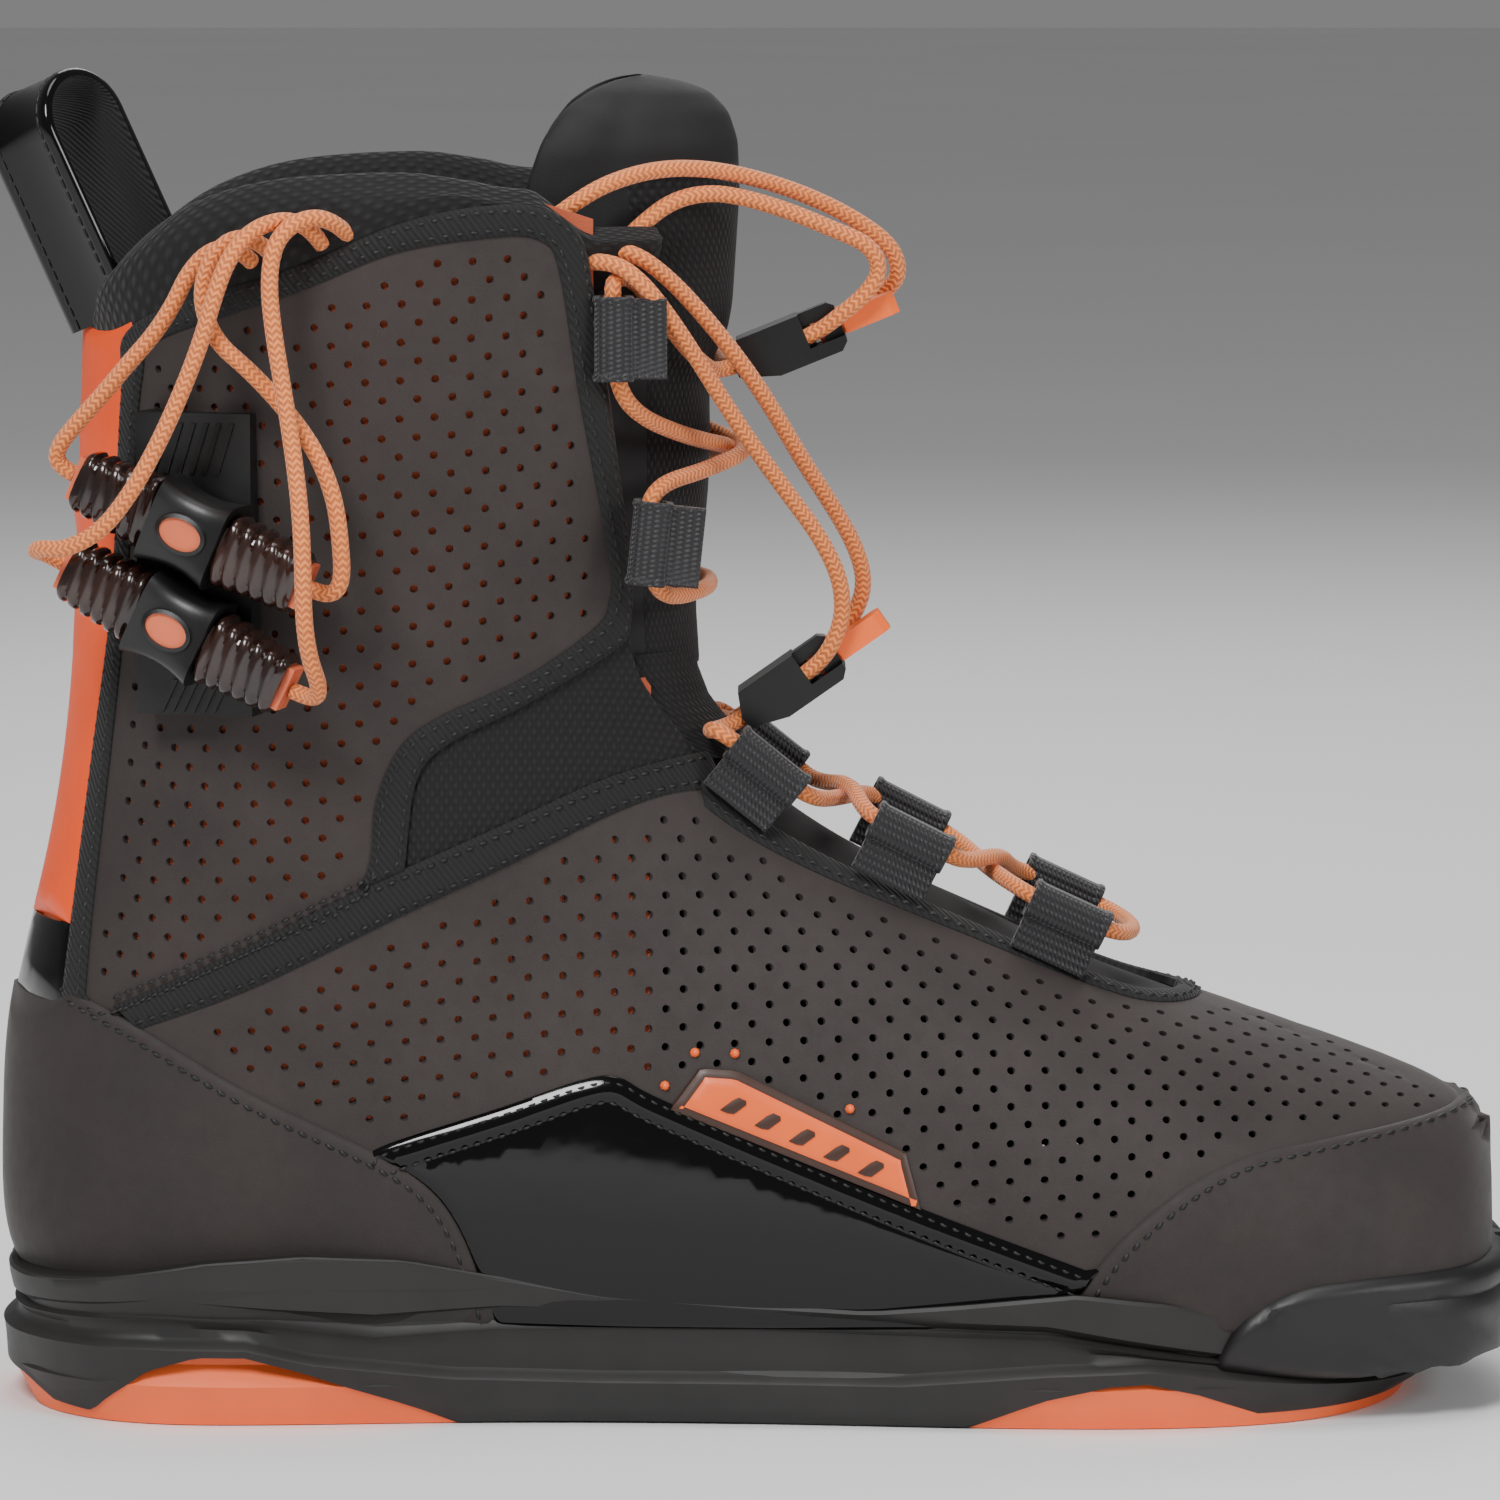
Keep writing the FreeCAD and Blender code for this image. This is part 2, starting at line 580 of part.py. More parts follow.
def make_handle(which):
    place = handle_placement(which)
    half_core, half_clip = dim("handle_length") / 2, dim("clip_length") / 2
    core = new_body(f"handle_{which}_core")
    section = new_sketch(core, "section", "YZ_Plane", offset=-half_core)
    add_rectangle(section, "handle_core_height", "handle_core_width")
    pad(section, "dims.handle_length")
    core.Placement = place

    clip = new_body(f"handle_{which}_clip")
    outside = new_sketch(clip, "outside", "YZ_Plane")
    add_rectangle(outside, "clip_height", "clip_width")
    pad(outside, "dims.clip_length", symmetric=True)
    inside = new_sketch(clip, "inside", "YZ_Plane")
    half_h, half_w = dim("handle_core_height") / 2 + 0.1, dim("handle_core_width") / 2 + 0.1
    add_loop(inside, [(-half_h, -half_w), (half_h, -half_w), (half_h, half_w), (-half_h, half_w)])
    pocket(inside, "dims.clip_length * 2", symmetric=True)
    window = new_sketch(clip, "window", "XZ_Plane")
    add_loop(window, [(-4, -3), (4, -3), (4, 3), (-4, 3)])
    pocket(window, "dims.clip_height", reverse=True)
    clip.Placement = place

    sleeves = []
    for side in (-1, 1):
        sleeve = doc.addObject("Part::Box", f"grip_{which}_{'left' if side < 0 else 'right'}_block")
        sleeve.setExpression("Length", "dims.grip_length")
        sleeve.setExpression("Width", "dims.grip_height")
        sleeve.setExpression("Height", "dims.grip_width")
        start = half_clip + 0.2 if side > 0 else -half_clip - 0.2 - dim("grip_length")
        corner = Vector(start, -dim("grip_height") / 2, -dim("grip_width") / 2)
        sleeve.Placement = place.multiply(Placement(corner, Rotation()))
        sleeves.append(sleeve)
    bar = doc.addObject("Part::Box", f"grip_{which}_bar_space")
    bar.Length, bar.Width, bar.Height = 2 * half_core + 2, 2 * half_h, 2 * half_w
    bar.Placement = place.multiply(Placement(Vector(-half_core - 1, -half_h, -half_w), Rotation()))
    pair = doc.addObject("Part::MultiFuse", f"grip_{which}_pair")
    pair.Shapes = sleeves
    grips = doc.addObject("Part::Cut", f"handle_{which}_grips")
    grips.Label = f"handle_{which}_grips"
    grips.Base, grips.Tool = pair, bar
    doc.recompute()
    keep(grips)


# ---------------------------------------------------------------- webbing loops


def make_loop(side, number, place):
    """Folded webbing: a flat tube for the lace along local X with a sewn tab below it."""
    name = f"lace_loop_{side}_{number}"
    length, depth, wall = dim("loop_length"), dim("loop_depth"), dim("loop_wall")
    thick = dim("loop_height")
    tube = doc.addObject("Part::Box", f"{name}_tube")
    tube.setExpression("Length", "dims.loop_length")
    tube.setExpression("Width", "dims.loop_height")
    tube.setExpression("Height", "dims.loop_depth")
    tube.Placement = place.multiply(Placement(Vector(-length / 2, -thick / 2, -depth / 2), Rotation()))
    hole = doc.addObject("Part::Box", f"{name}_hole")
    hole.setExpression("Length", "dims.loop_length + 2")
    hole.setExpression("Width", "dims.loop_height - 2 * dims.loop_wall")
    hole.setExpression("Height", "dims.loop_depth - 2 * dims.loop_wall")
    corner = Vector(-length / 2 - 1, wall - thick / 2, wall - depth / 2)
    hole.Placement = place.multiply(Placement(corner, Rotation()))
    tab = doc.addObject("Part::Box", f"{name}_tab")
    tab.setExpression("Length", "dims.loop_length")
    tab.setExpression("Width", "dims.loop_wall * 2")
    tab.setExpression("Height", "dims.loop_depth")
    tab.Placement = place.multiply(Placement(Vector(-length / 2, -wall, -1.5 * depth + 0.5), Rotation()))
    webbing = doc.addObject("Part::MultiFuse", f"{name}_webbing")
    webbing.Shapes = [tube, tab]
    threaded = doc.addObject("Part::Cut", f"{name}_threaded")
    threaded.Base, threaded.Tool = webbing, hole
    trimmed = doc.addObject("Part::Cut", name)
    trimmed.Label = name
    trimmed.Base, trimmed.Tool = threaded, doc.getObject("shaft_surface")
    keep(trimmed)


def make_loops():
    for side, sign in (("lateral", -1), ("medial", 1)):
        for number, (x, z, out, slope) in enumerate(UPPER_LOOPS, start=1):
            upright = Rotation(Vector(math.cos(math.radians(slope)), 0, math.sin(math.radians(slope))),
                               Vector(0, 1, 0), Vector(1, 0, 0), "XYZ")
            make_loop(side, number, Placement(Vector(x, sign * out, z), upright))
        for number, (x, z, out, slope) in enumerate(LOWER_LOOPS, start=3):
            lean = Rotation(Vector(0, 1, 0), -slope)
            make_loop(side, number, Placement(Vector(x, swing(x) + sign * out, z), lean))


# ---------------------------------------------------------------- laces

# Held laces: on each side the points from inside the lock to the first webbing loop, then the zigzag as x,
# distance from the middle plane (negative once the lace has crossed over) and z, up to the front bar.
UPPER_ENTRY = {
    "lateral": [(0.7, -8.6, 212.1), (-6.2, -8.6, 209.3), (-9.5, -16.5, 211.5), (-14.5, -24, 217.5),
                (-19.5, -30, 225.5), (-24, -35.5, 230.5), (-27.2, -40.3, 230)],
    "medial": [(0.7, -1.4, 212.1), (-5.6, -1.4, 209.5), (-5.6, 8, 211), (-9.5, 17.5, 213.5), (-14.5, 25, 218.5),
               (-19.5, 30.5, 226), (-24, 35.5, 230.5), (-27.2, 40.3, 230)],
}
UPPER_LACING = [
    (-27, 41, 226), (-27, 41, 211), (-23, 36, 203), (-12, 19, 197), (-2.4, 0, 193.5), (-9, -19, 190.5),
    (-18, -33, 189), (-20.8, -36.5, 184), (-20.2, -36.5, 171),
    (-16.5, -30, 165.5), (-9, -14, 166), (-8.0, 0, 166),
]
LOWER_ENTRY = {
    "lateral": [(1.5, -6.6, 141), (-3.2, -6.6, 137.7), (-8.5, -13.5, 137)],
    "medial": [(1.5, 0.6, 141), (-3.2, 0.6, 137.7), (-3.6, 8, 136.8), (-8.3, 14.5, 137)],
}
LOWER_LACING = [
    (-7, 19.4, 138.3), (-1.5, 19.5, 134.5), (9.5, 19.5, 125.7),
    (14, 14, 123), (18.5, 0, 121.7), (23, -14, 121),
    (27, -19.5, 119), (38.5, -19.5, 113), (44, -14, 110),
    (49, 0, 106.8), (54, 14, 105), (59.5, 19.5, 102.5),
    (70, 19.5, 97.5), (76.5, 14, 95), (79, 0, 94.3),
]
# At these corners of the zigzag the medial lace runs over the lateral one, this far away.
UPPER_CROSSING = ((4,), Vector(3.9, 0, 0))
LOWER_CROSSING = ((4, 9), Vector(2.2, 0, 3.0))
FREE_LACES = {
    "lace_front_lower_1": [
        (6.8, -6.6, 144.75), (12.9, -6.9, 149), (16.4, -9, 153.4), (18.9, -10, 160), (18.3, -12.5, 168),
        (14, -16, 177), (7.5, -20, 186), (0.5, -25, 196), (-5.5, -29.5, 205.5), (-10.5, -34.5, 214),
        (-15.5, -39, 222), (-21, -42, 229.5), (-27, -41.5, 234), (-32, -38.5, 233.5),
    ],
    "lace_front_lower_2": [
        (6.8, 0.6, 144.75), (12.9, 0.9, 149), (16.4, 3, 153.4), (21.3, 4, 158.5), (23.6, 3, 165.5),
        (21.5, -1, 173.5), (16.5, -6, 182.5), (10.5, -12, 192), (5, -18, 202), (-1, -23.5, 211.5),
        (-8.5, -29, 221.5), (-16.5, -33.5, 230.5), (-24, -36.5, 236), (-31.5, -34.5, 236.5),
    ],
    "lace_front_upper_1": [
        (6.3, -8.6, 214.35), (13.2, -8.9, 217.15), (18, -11, 221), (23.5, -12, 225.5), (26.5, -12, 230.5),
        (24, -13.5, 235.5), (17, -15, 238.5), (9, -17, 242),
        (0, -19, 245), (-8, -22, 246.5), (-15.5, -25.5, 245),
        (-21.5, -28, 240.5), (-26.5, -30, 235.5), (-31, -31.5, 231.5),
    ],
    "lace_front_upper_2": [
        (6.3, -1.4, 214.35), (13.2, -1.1, 217.15), (18.2, 1.4, 220.7), (25.5, 1.8, 223.8), (30.5, -1, 228),
        (29, -4, 234.5), (21, -7, 240.5), (11, -10.5, 245.5), (1, -15.5, 249), (-8, -20.5, 251),
        (-16.5, -26, 251.5), (-25, -31.5, 250), (-33, -35.5, 246.5), (-39.5, -36, 241.5),
    ],
    "lace_rear_lower_1": [
        (-84, -48.5, 237.5), (-86.5, -52, 241.5), (-92, -55.5, 243), (-98, -58.5, 240.5), (-102, -61, 235),
        (-104.5, -62, 228), (-107, -62, 219.5), (-110.5, -62, 210.5),
        (-115, -62, 200.5), (-120.5, -61.5, 190.5),
        (-127, -59.5, 182), (-134.5, -56, 178), (-139.5, -52.5, 178),
        (-141.5, -47, 177), (-139.6, -43.7, 176.3),
        (-135.6, -44.8, 174.2),
    ],
    "lace_rear_lower_2": [
        (-79, -48.5, 239.5), (-81.5, -53, 242.5), (-87, -56.5, 243.5),
        (-92.5, -59, 239.5), (-94, -60.5, 231.5),
        (-93, -62, 221.5), (-91, -63.5, 210), (-89, -66, 198), (-87.5, -69, 186.5), (-87, -70.5, 175.5),
        (-87, -70, 165.5), (-86, -67.5, 157.5), (-84.3, -63.5, 152),
        (-85.2, -59.7, 148.4), (-89.9, -57.9, 150.4),
    ],
    "lace_rear_upper_1": [
        (-98, -46.5, 234), (-100.5, -50, 237), (-105.5, -52, 237), (-110, -53, 232.5), (-113, -53.5, 226),
        (-117, -53, 220), (-122, -51.5, 214.5), (-127.5, -49.5, 208),
        (-133, -47.5, 202), (-137, -45.5, 197),
        (-136.8, -44.5, 193.6), (-133.2, -45.6, 191.9),
    ],
    "lace_rear_upper_2": [
        (-93.5, -47.5, 235), (-96, -52, 238.5), (-101.5, -55.5, 239.5),
        (-106, -57, 234.5), (-107.5, -58, 227),
        (-104.5, -57.8, 219), (-98, -57.6, 213.5), (-91, -58, 206), (-85, -60, 198), (-81.2, -62, 189),
        (-80, -62.5, 179.5), (-79.8, -61.5, 171.8), (-82.6, -60.1, 169), (-86.4, -58.9, 170.7),
    ],
}


def cord_wire(points, minimum):
    """Straight runs joined by tangent arcs as large as the two runs beside each corner allow."""
    edges, at, radii = [], points[0], []
    for before, corner, after in zip(points, points[1:], points[2:]):
        into, out = corner - before, after - corner
        turn = into.getAngle(out)
        shorter = min(into.Length, out.Length)
        radius = 0.45 * shorter / math.tan(turn / 2)
        radii.append(radius)
        reach = 0.45 * shorter
        start, end = corner - into.normalize() * reach, corner + out.normalize() * reach
        inward = (out - into).normalize()
        middle = corner + inward * (radius / math.cos(turn / 2) - radius)
        edges += [Part.LineSegment(at, start).toShape(), Part.Arc(start, middle, end).toShape()]
        at = end
    edges.append(Part.LineSegment(at, points[-1]).toShape())
    if min(radii) < minimum:
        print(f"tightest arc {min(radii):.1f} mm at corner {radii.index(min(radii)) + 1}")
    return Part.Wire(edges), min(radii)


def make_cord(label, points):
    radius = dim("lace_diameter") / 2
    path, tightest = cord_wire(points, 2 * dim("lace_diameter"))
    start = Part.Circle(points[0], points[1] - points[0], radius).toShape()
    tube = path.makePipeShell([Part.Wire([start])], True, True)
    expected = math.pi * radius ** 2 * path.Length
    print(f"{label}: length {path.Length:.1f} mm, tightest arc {tightest:.1f} mm, "
          f"volume ratio {tube.Volume / expected:.3f}")
    if tube.Volume < 0:
        tube.reverse()
    shaped(label, tube)


def make_laces():
    for name, entry, zigzag, (crossings, lift) in (
        ("upper", UPPER_ENTRY, UPPER_LACING, UPPER_CROSSING),
        ("lower", LOWER_ENTRY, LOWER_LACING, LOWER_CROSSING),
    ):
        lateral = [Vector(*point) for point in entry["lateral"]]
        lateral += [Vector(x, swing(x) - out, z) for x, out, z in zigzag]
        medial = [Vector(*point) for point in entry["medial"]]
        medial += [Vector(x, swing(x) + out, z) for x, out, z in zigzag[:-1]]
        for index in crossings:
            medial[len(entry["medial"]) + index] += lift
        make_cord(f"lacing_{name}", lateral + medial[::-1])
    for name, points in FREE_LACES.items():
        make_cord(name, [Vector(*point) for point in points])


# ---------------------------------------------------------------- upper


def make_upper():
    panels = layer(0, dim("panel_depth"))
    everywhere = side_face([(-REACH, SOLE_LINE), (REACH, SOLE_LINE), (REACH, 2 * REACH), (-REACH, 2 * REACH)])
    heel = below([(-REACH, 86)] + HEEL_TOP[1:]).common(everywhere)
    toe = below(TOE_CAP_EDGE).common(everywhere)
    side_panel = below(SIDE_PANEL_EDGE).common(everywhere).cut(heel).cut(toe)
    seam = side_face(SEAM_LOWER + SEAM_UPPER[::-1]).cut(heel)
    vamp = below(SEAM_LOWER + [(-8, 140), (REACH, 140)]).common(everywhere)
    vamp = vamp.cut(heel).cut(toe).cut(side_panel).cut(seam).cut(below([(-REACH, 90), (-123, 79)]))
    throat_limit = Part.makeBox(2 * REACH, REACH, THROAT_TOP - THROAT_LOW, Vector(-40, -REACH / 2, THROAT_LOW))
    opening = throat_plan(THROAT_HALF_WIDTH, THROAT_FRONT).common(throat_limit)
    throat = throat_plan(THROAT_HALF_WIDTH + THROAT_BINDING, THROAT_FRONT + THROAT_BINDING)
    throat = throat.common(throat_limit)
    tongue_way = Part.makeBox(REACH, 2 * TONGUE_WAY, REACH, Vector(TONGUE_REAR, -TONGUE_WAY, TONGUE_FOOT))

    shaped("heel_counter", one_solid(panels.common(prism(heel))))
    shaped("toe_cap", one_solid(panels.common(prism(toe))))
    shaped("vamp_panel", one_solid(panels.common(prism(vamp)).cut(throat)))
    bands = panels.common(prism(seam)).cut(throat)
    shaped("instep_binding", one_solid(panels.common(throat).cut(opening).fuse(bands)))
    faces = {
        "side_panel": side_panel,
        "cuff_panel": side_face(CUFF_PANEL).cut(heel),
        "cuff_binding": side_face(CUFF_OUTER).cut(side_face(CUFF_PANEL)).cut(heel),
        "ankle_gusset": side_face(GUSSET + SEAM_UPPER[4:2:-1]).cut(seam),
    }
    for name, face in faces.items():
        for side, half in both_halves(panels.common(prism(face))).items():
            shaped(f"{name}_{side}", one_solid(half.cut(throat).cut(tongue_way)))

    strip = panels.common(prism(side_face([(-170, 86), (-139, 86)] + CUFF_OUTER[1:5] + [(-170, 221)])))
    split = Part.makeBox(2 * REACH, 2 * REACH, SPINE_SPLIT, Vector(-1.5 * REACH, -REACH, 0))
    shaped("heel_spine_patent", one_solid(strip.common(split)))
    shaped("heel_spine_strip", one_solid(strip.cut(split)))
    badge = layer(-dim("badge_height"), 0).common(prism(side_face(BADGE)))
    shaped("badge_lateral", one_solid(both_halves(badge)["lateral"]))
    bumper = layer(-dim("bumper_height"), -dim("layer_gap")).common(prism(below([(93, 2)] + BUMPER_EDGE)))
    shaped("toe_bumper", one_solid(bumper))
    make_lining(everywhere, opening, tongue_way)


def make_lining(everywhere, opening, tongue_way):
    """Foam, lining, footbed and collar behind the panels."""
    open_front = side_face([(-2 * REACH, 300)] + FRONT_EDGE
                           + [(2 * REACH, 132), (2 * REACH, -REACH), (-2 * REACH, -REACH)])
    seam_line = [(-2 * REACH, 222)] + COLLAR_SEAM[1:]
    covered = open_front.common(below([(-2 * REACH, 221)] + COLLAR_SEAM[1:])).common(everywhere)
    underlay = layer(dim("underlay_top"), dim("underlay_bottom"))
    shaped("foam_underlay", one_solid(underlay.common(prism(covered)).cut(opening).cut(tongue_way)))
    front = side_face([(-20, 147.2), (-10.6, 134.2), (-5.6, 132.4), (20, 132.4), (20, 147.2)])
    base = underlay.common(opening).fuse(underlay.common(prism(front)))
    shaped("tongue_base", one_solid(base))

    lowered = below([(x, z - dim("collar_overlap")) for x, z in seam_line])
    lining = layer(dim("liner_top"), dim("liner_bottom")).common(prism(open_front.common(lowered)))
    ankle = Part.makeBox(4 * REACH, 4 * REACH, 4 * REACH, Vector(-2 * REACH, -2 * REACH, LINER_SPLIT))
    shaped("liner_foot", one_solid(lining.cut(ankle)))
    shaped("liner_cuff", one_solid(lining.common(ankle).cut(tongue_way)))
    slab = Vector(-REACH, -REACH, 0)
    under_foot = Part.makeBox(2 * REACH, 2 * REACH, SOLE_LINE - dim("layer_gap"), slab)
    shaped("midsole_foam", one_solid(layer(dim("layer_gap") / 2, dim("underlay_bottom")).common(under_foot)))
    insole = Part.makeBox(2 * REACH, 2 * REACH, FOOTBED_TOP, slab)
    shaped("footbed", one_solid(body_solid(dim("liner_bottom") + dim("layer_gap")).common(insole)))

    rim = below([(-REACH, 222)] + COLLAR_RIM + [(-31, -50)]).common(open_front)
    above_seam = above([(x, z + 2 * dim("layer_gap")) for x, z in COLLAR_SEAM])
    outer = layer(2 * dim("layer_gap"), dim("liner_top")).common(prism(rim.common(above_seam)))
    tucked = below([(x, z - dim("collar_overlap") + 0.3) for x, z in seam_line])
    inner = layer(dim("liner_top"), dim("collar_depth")).common(prism(rim.cut(tucked)))
    shaped("collar", one_solid(outer.fuse(inner)))


# ---------------------------------------------------------------- tongue and pull loop

TONGUE_FRONT = [
    (149, -10.2), (162, -11), (174, -9.5), (186, -8.4),
    (198, -8.1), (206, -8.4), (212.5, -7.6), (217, -4.8),
    (223, -3.6), (246, -2), (275, -4.5),
]
TONGUE_TOP = [
    (20, 100), (20, 246), (-2, 249), (-4, 262), (-9, 266.5), (-22.5, 269), (-34.5, 265.5), (-41, 257),
    (-60, 236), (-60, 100),
]
TONGUE_LENGTH, TONGUE_HALF_WIDTH, TONGUE_THICKNESS, TONGUE_SWEEP = 49.0, 30.5, 10.0, 56.0


def tongue_section(level, front):
    """Crescent across the shin: two parts of ellipses and two short ends."""
    centre = front - TONGUE_LENGTH
    arcs = []
    for inset in (0.0, TONGUE_THICKNESS):
        points = []
        for step in range(-4, 5):
            angle = math.radians(TONGUE_SWEEP * step / 4)
            points.append(Vector(centre + (TONGUE_LENGTH - inset) * math.cos(angle),
                                 (TONGUE_HALF_WIDTH - 0.6 * inset) * math.sin(angle), level))
        arcs.append(points)
    outer, inner = Part.BSplineCurve(), Part.BSplineCurve()
    outer.interpolate(arcs[0])
    inner.interpolate(arcs[1][::-1])
    ends = [Part.makeLine(arcs[0][-1], arcs[1][-1]), Part.makeLine(arcs[1][0], arcs[0][0])]
    return Part.Wire([outer.toShape(), ends[0], inner.toShape(), ends[1]])


def make_tongue():
    crescent = Part.makeLoft([tongue_section(level, front) for level, front in TONGUE_FRONT], True, True)
    shaped("tongue", one_solid(crescent.common(prism(side_face(TONGUE_TOP)))))


def make_pull_loop():
    """Bent strap: two legs and a round top, turned on the heel and leaning back."""
    bend, thick, width = dim("strap_bend_radius"), dim("strap_thickness"), dim("strap_width")
    foot = -dim("strap_leg")
    edges = []
    for radius in (bend, bend - thick):
        rear, front = Vector(-radius, 0, 0), Vector(radius, 0, 0)
        edges.append(Part.makeLine(Vector(-radius, 0, foot), rear))
        edges.append(Part.Arc(rear, Vector(0, 0, radius), front).toShape())
        edges.append(Part.makeLine(front, Vector(radius, 0, foot)))
    for sign in (-1, 1):
        edges.append(Part.makeLine(Vector(sign * bend, 0, foot), Vector(sign * (bend - thick), 0, foot)))
    outline = Part.Face(Part.Wire(Part.__sortEdges__(edges)))
    strap = outline.extrude(Vector(0, width, 0))
    strap.translate(Vector(0, -width / 2, 0))
    lean = Rotation(Vector(0, 1, 0), STRAP_LEAN).multiply(Rotation(Vector(0, 0, 1), STRAP_TURN))
    strap.Placement = Placement(STRAP_BEND, lean).multiply(strap.Placement)
    for name in STRAP_NEIGHBOURS:
        strap = strap.cut(doc.getObject(name).Shape)
    shaped("pull_loop", one_solid(strap))


# ---------------------------------------------------------------- build, check and write

make_sole()
make_upper()
make_tongue()
make_pull_loop()
make_baseplate()
make_dock()
make_loops()
for zone in ("upper", "lower"):
    make_lock(zone)
    make_wedge(zone)
    make_handle(zone)
make_laces()
doc.recompute()

for item in doc.Objects:
    if {"Invalid", "Error"} & set(item.State):
        raise RuntimeError(f"{item.Name} failed: {item.State}")
os.makedirs("parts", exist_ok=True)
for piece in pieces:
    shape = piece.Shape
    if shape.isNull() or not shape.isValid() or shape.Volume <= 0:
        raise RuntimeError(f"{piece.Label} has no valid solid")
    shape.exportStep(f"parts/{piece.Label}.step")
print(len(pieces), "pieces written")
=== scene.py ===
"""Looks of the wakeboard boot: panels, bindings, padding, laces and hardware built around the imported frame.

Lengths in the tables are millimetres in the row frame and are multiplied by MM when a mesh is made."""

import math

import bpy
import numpy as np
from mathutils import Matrix, Vector
from mathutils.bvhtree import BVHTree
from mathutils.geometry import delaunay_2d_cdt


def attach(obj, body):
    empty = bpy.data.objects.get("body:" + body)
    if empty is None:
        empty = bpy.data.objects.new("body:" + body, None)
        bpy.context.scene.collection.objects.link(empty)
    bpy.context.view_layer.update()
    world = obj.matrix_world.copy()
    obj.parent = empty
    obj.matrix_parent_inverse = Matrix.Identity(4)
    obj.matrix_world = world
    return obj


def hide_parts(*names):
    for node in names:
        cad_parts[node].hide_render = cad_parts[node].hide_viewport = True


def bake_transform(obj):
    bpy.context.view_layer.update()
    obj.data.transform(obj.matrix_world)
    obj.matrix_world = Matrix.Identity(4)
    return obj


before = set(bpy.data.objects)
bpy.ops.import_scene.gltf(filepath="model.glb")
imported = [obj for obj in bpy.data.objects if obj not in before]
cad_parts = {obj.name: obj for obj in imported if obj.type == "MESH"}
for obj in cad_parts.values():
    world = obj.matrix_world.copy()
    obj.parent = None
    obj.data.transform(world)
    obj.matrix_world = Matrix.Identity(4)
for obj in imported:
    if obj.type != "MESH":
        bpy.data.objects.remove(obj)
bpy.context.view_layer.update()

MM = 0.001

# ---------------------------------------------------------------- body surface, as in the CAD model

SECTIONS = [
    (149.5, 14, 149.5, 55, 20, 0), (148, 12, 147.5, 60, 34, 0), (139, 12, 139, 65, 43, 0),
    (118, 12, 118, 72.5, 50, 0), (92, 13.5, 95, 80.5, 53, 0), (62, 15, 70, 89, 51.5, 0),
    (28, 16, 46, 101, 48, 0), (-12, 16.5, 24, 112, 44.5, 0), (-55, 17, 7, 122.5, 42.5, 0),
    (-100, 16, -4, 134, 41, 0.05), (-136, 14, -9.5, 146, 40, 0.35), (-153.5, 26, -11, 157, 39.5, 0.9),
    (-152.5, 54, -11, 167, 39.5, 1), (-152, 80, -9.5, 179, 40, 1), (-143, 110, -7, 190, 42, 1),
    (-137.5, 145, -4.5, 204, 45, 1), (-136, 190, -3, 222, 48, 1), (-134.5, 232, -2.5, 240, 50, 1),
    (-134, 262, -2.5, 262, 50.5, 1), (-134, 285, -2.5, 285, 50.5, 1),
]
FOOT_HALF = [
    (0, 0), (0, 0.45), (0, 0.86), (0.14, 0.975), (0.34, 1), (0.58, 0.93), (0.79, 0.73), (0.94, 0.4), (1, 0),
]
LEG_HALF = [
    (0, 0), (0.035, 0.36), (0.13, 0.69), (0.3, 0.93), (0.5, 1), (0.7, 0.93), (0.87, 0.68), (0.965, 0.36),
    (1, 0),
]
ROWS, T_END = len(SECTIONS), len(SECTIONS) - 3.0
KNOTS = np.array([0.0] * 4 + list(range(1, ROWS - 3)) + [T_END] * 4)
NOSE_BULGE = 1.2


def swing(x):
    part = np.clip((np.asarray(x, float) + 20) / 130, 0, 1)
    return 5.0 * part * part * (3 - 2 * part)


def ring(index, depth):
    low_x, low_z, high_x, high_z, half, turn = SECTIONS[index]
    before, after = SECTIONS[max(0, index - 1)], SECTIONS[min(ROWS - 1, index + 1)]
    chord = np.array([high_x - low_x, high_z - low_z], float)
    ends = []
    for corner, column, towards in (((low_x, low_z), 0, 1), ((high_x, high_z), 2, -1)):
        normal = np.array([before[column + 1] - after[column + 1], after[column] - before[column]], float)
        normal /= np.linalg.norm(normal)
        if normal @ chord * towards <= 0:
            normal = -normal
        ends.append(np.array(corner) + normal * depth + np.array([-depth * max(0.0, 1 - index / 3), 0]))
    points = []
    for k in range(16):
        half_k = k if k <= 8 else 16 - k
        along = FOOT_HALF[half_k][0] + (LEG_HALF[half_k][0] - FOOT_HALF[half_k][0]) * turn
        wide = FOOT_HALF[half_k][1] + (LEG_HALF[half_k][1] - FOOT_HALF[half_k][1]) * turn
        x, z = ends[0] + (ends[1] - ends[0]) * along
        points.append((x, swing(x) + (-1 if k <= 8 else 1) * wide * (half - depth), z))
    return np.array(points)


def poles(depth):
    rows = []
    for index in range(ROWS):
        points = ring(index, depth)
        row = points.copy()
        for _ in range(30):
            row = row + points - (np.roll(row, 1, 0) + 4 * row + np.roll(row, -1, 0)) / 6
        rows.append(row)
    return np.array(rows)


NET_0, NET_8 = poles(0.0), poles(8.0)


def weights_t(t):
    t = np.clip(t, 0, T_END - 1e-9)
    level = [((KNOTS[i] <= t) & (t < KNOTS[i + 1])).astype(float) for i in range(len(KNOTS) - 1)]
    for degree in (1, 2, 3):
        raised = []
        for i in range(len(KNOTS) - 1 - degree):
            left, right = KNOTS[i + degree] - KNOTS[i], KNOTS[i + degree + 1] - KNOTS[i + 1]
            value = np.zeros_like(t)
            if left > 0:
                value = value + (t - KNOTS[i]) / left * level[i]
            if right > 0:
                value = value + (KNOTS[i + degree + 1] - t) / right * level[i + 1]
            raised.append(value)
        level = raised
    return np.stack(level[:ROWS], -1)


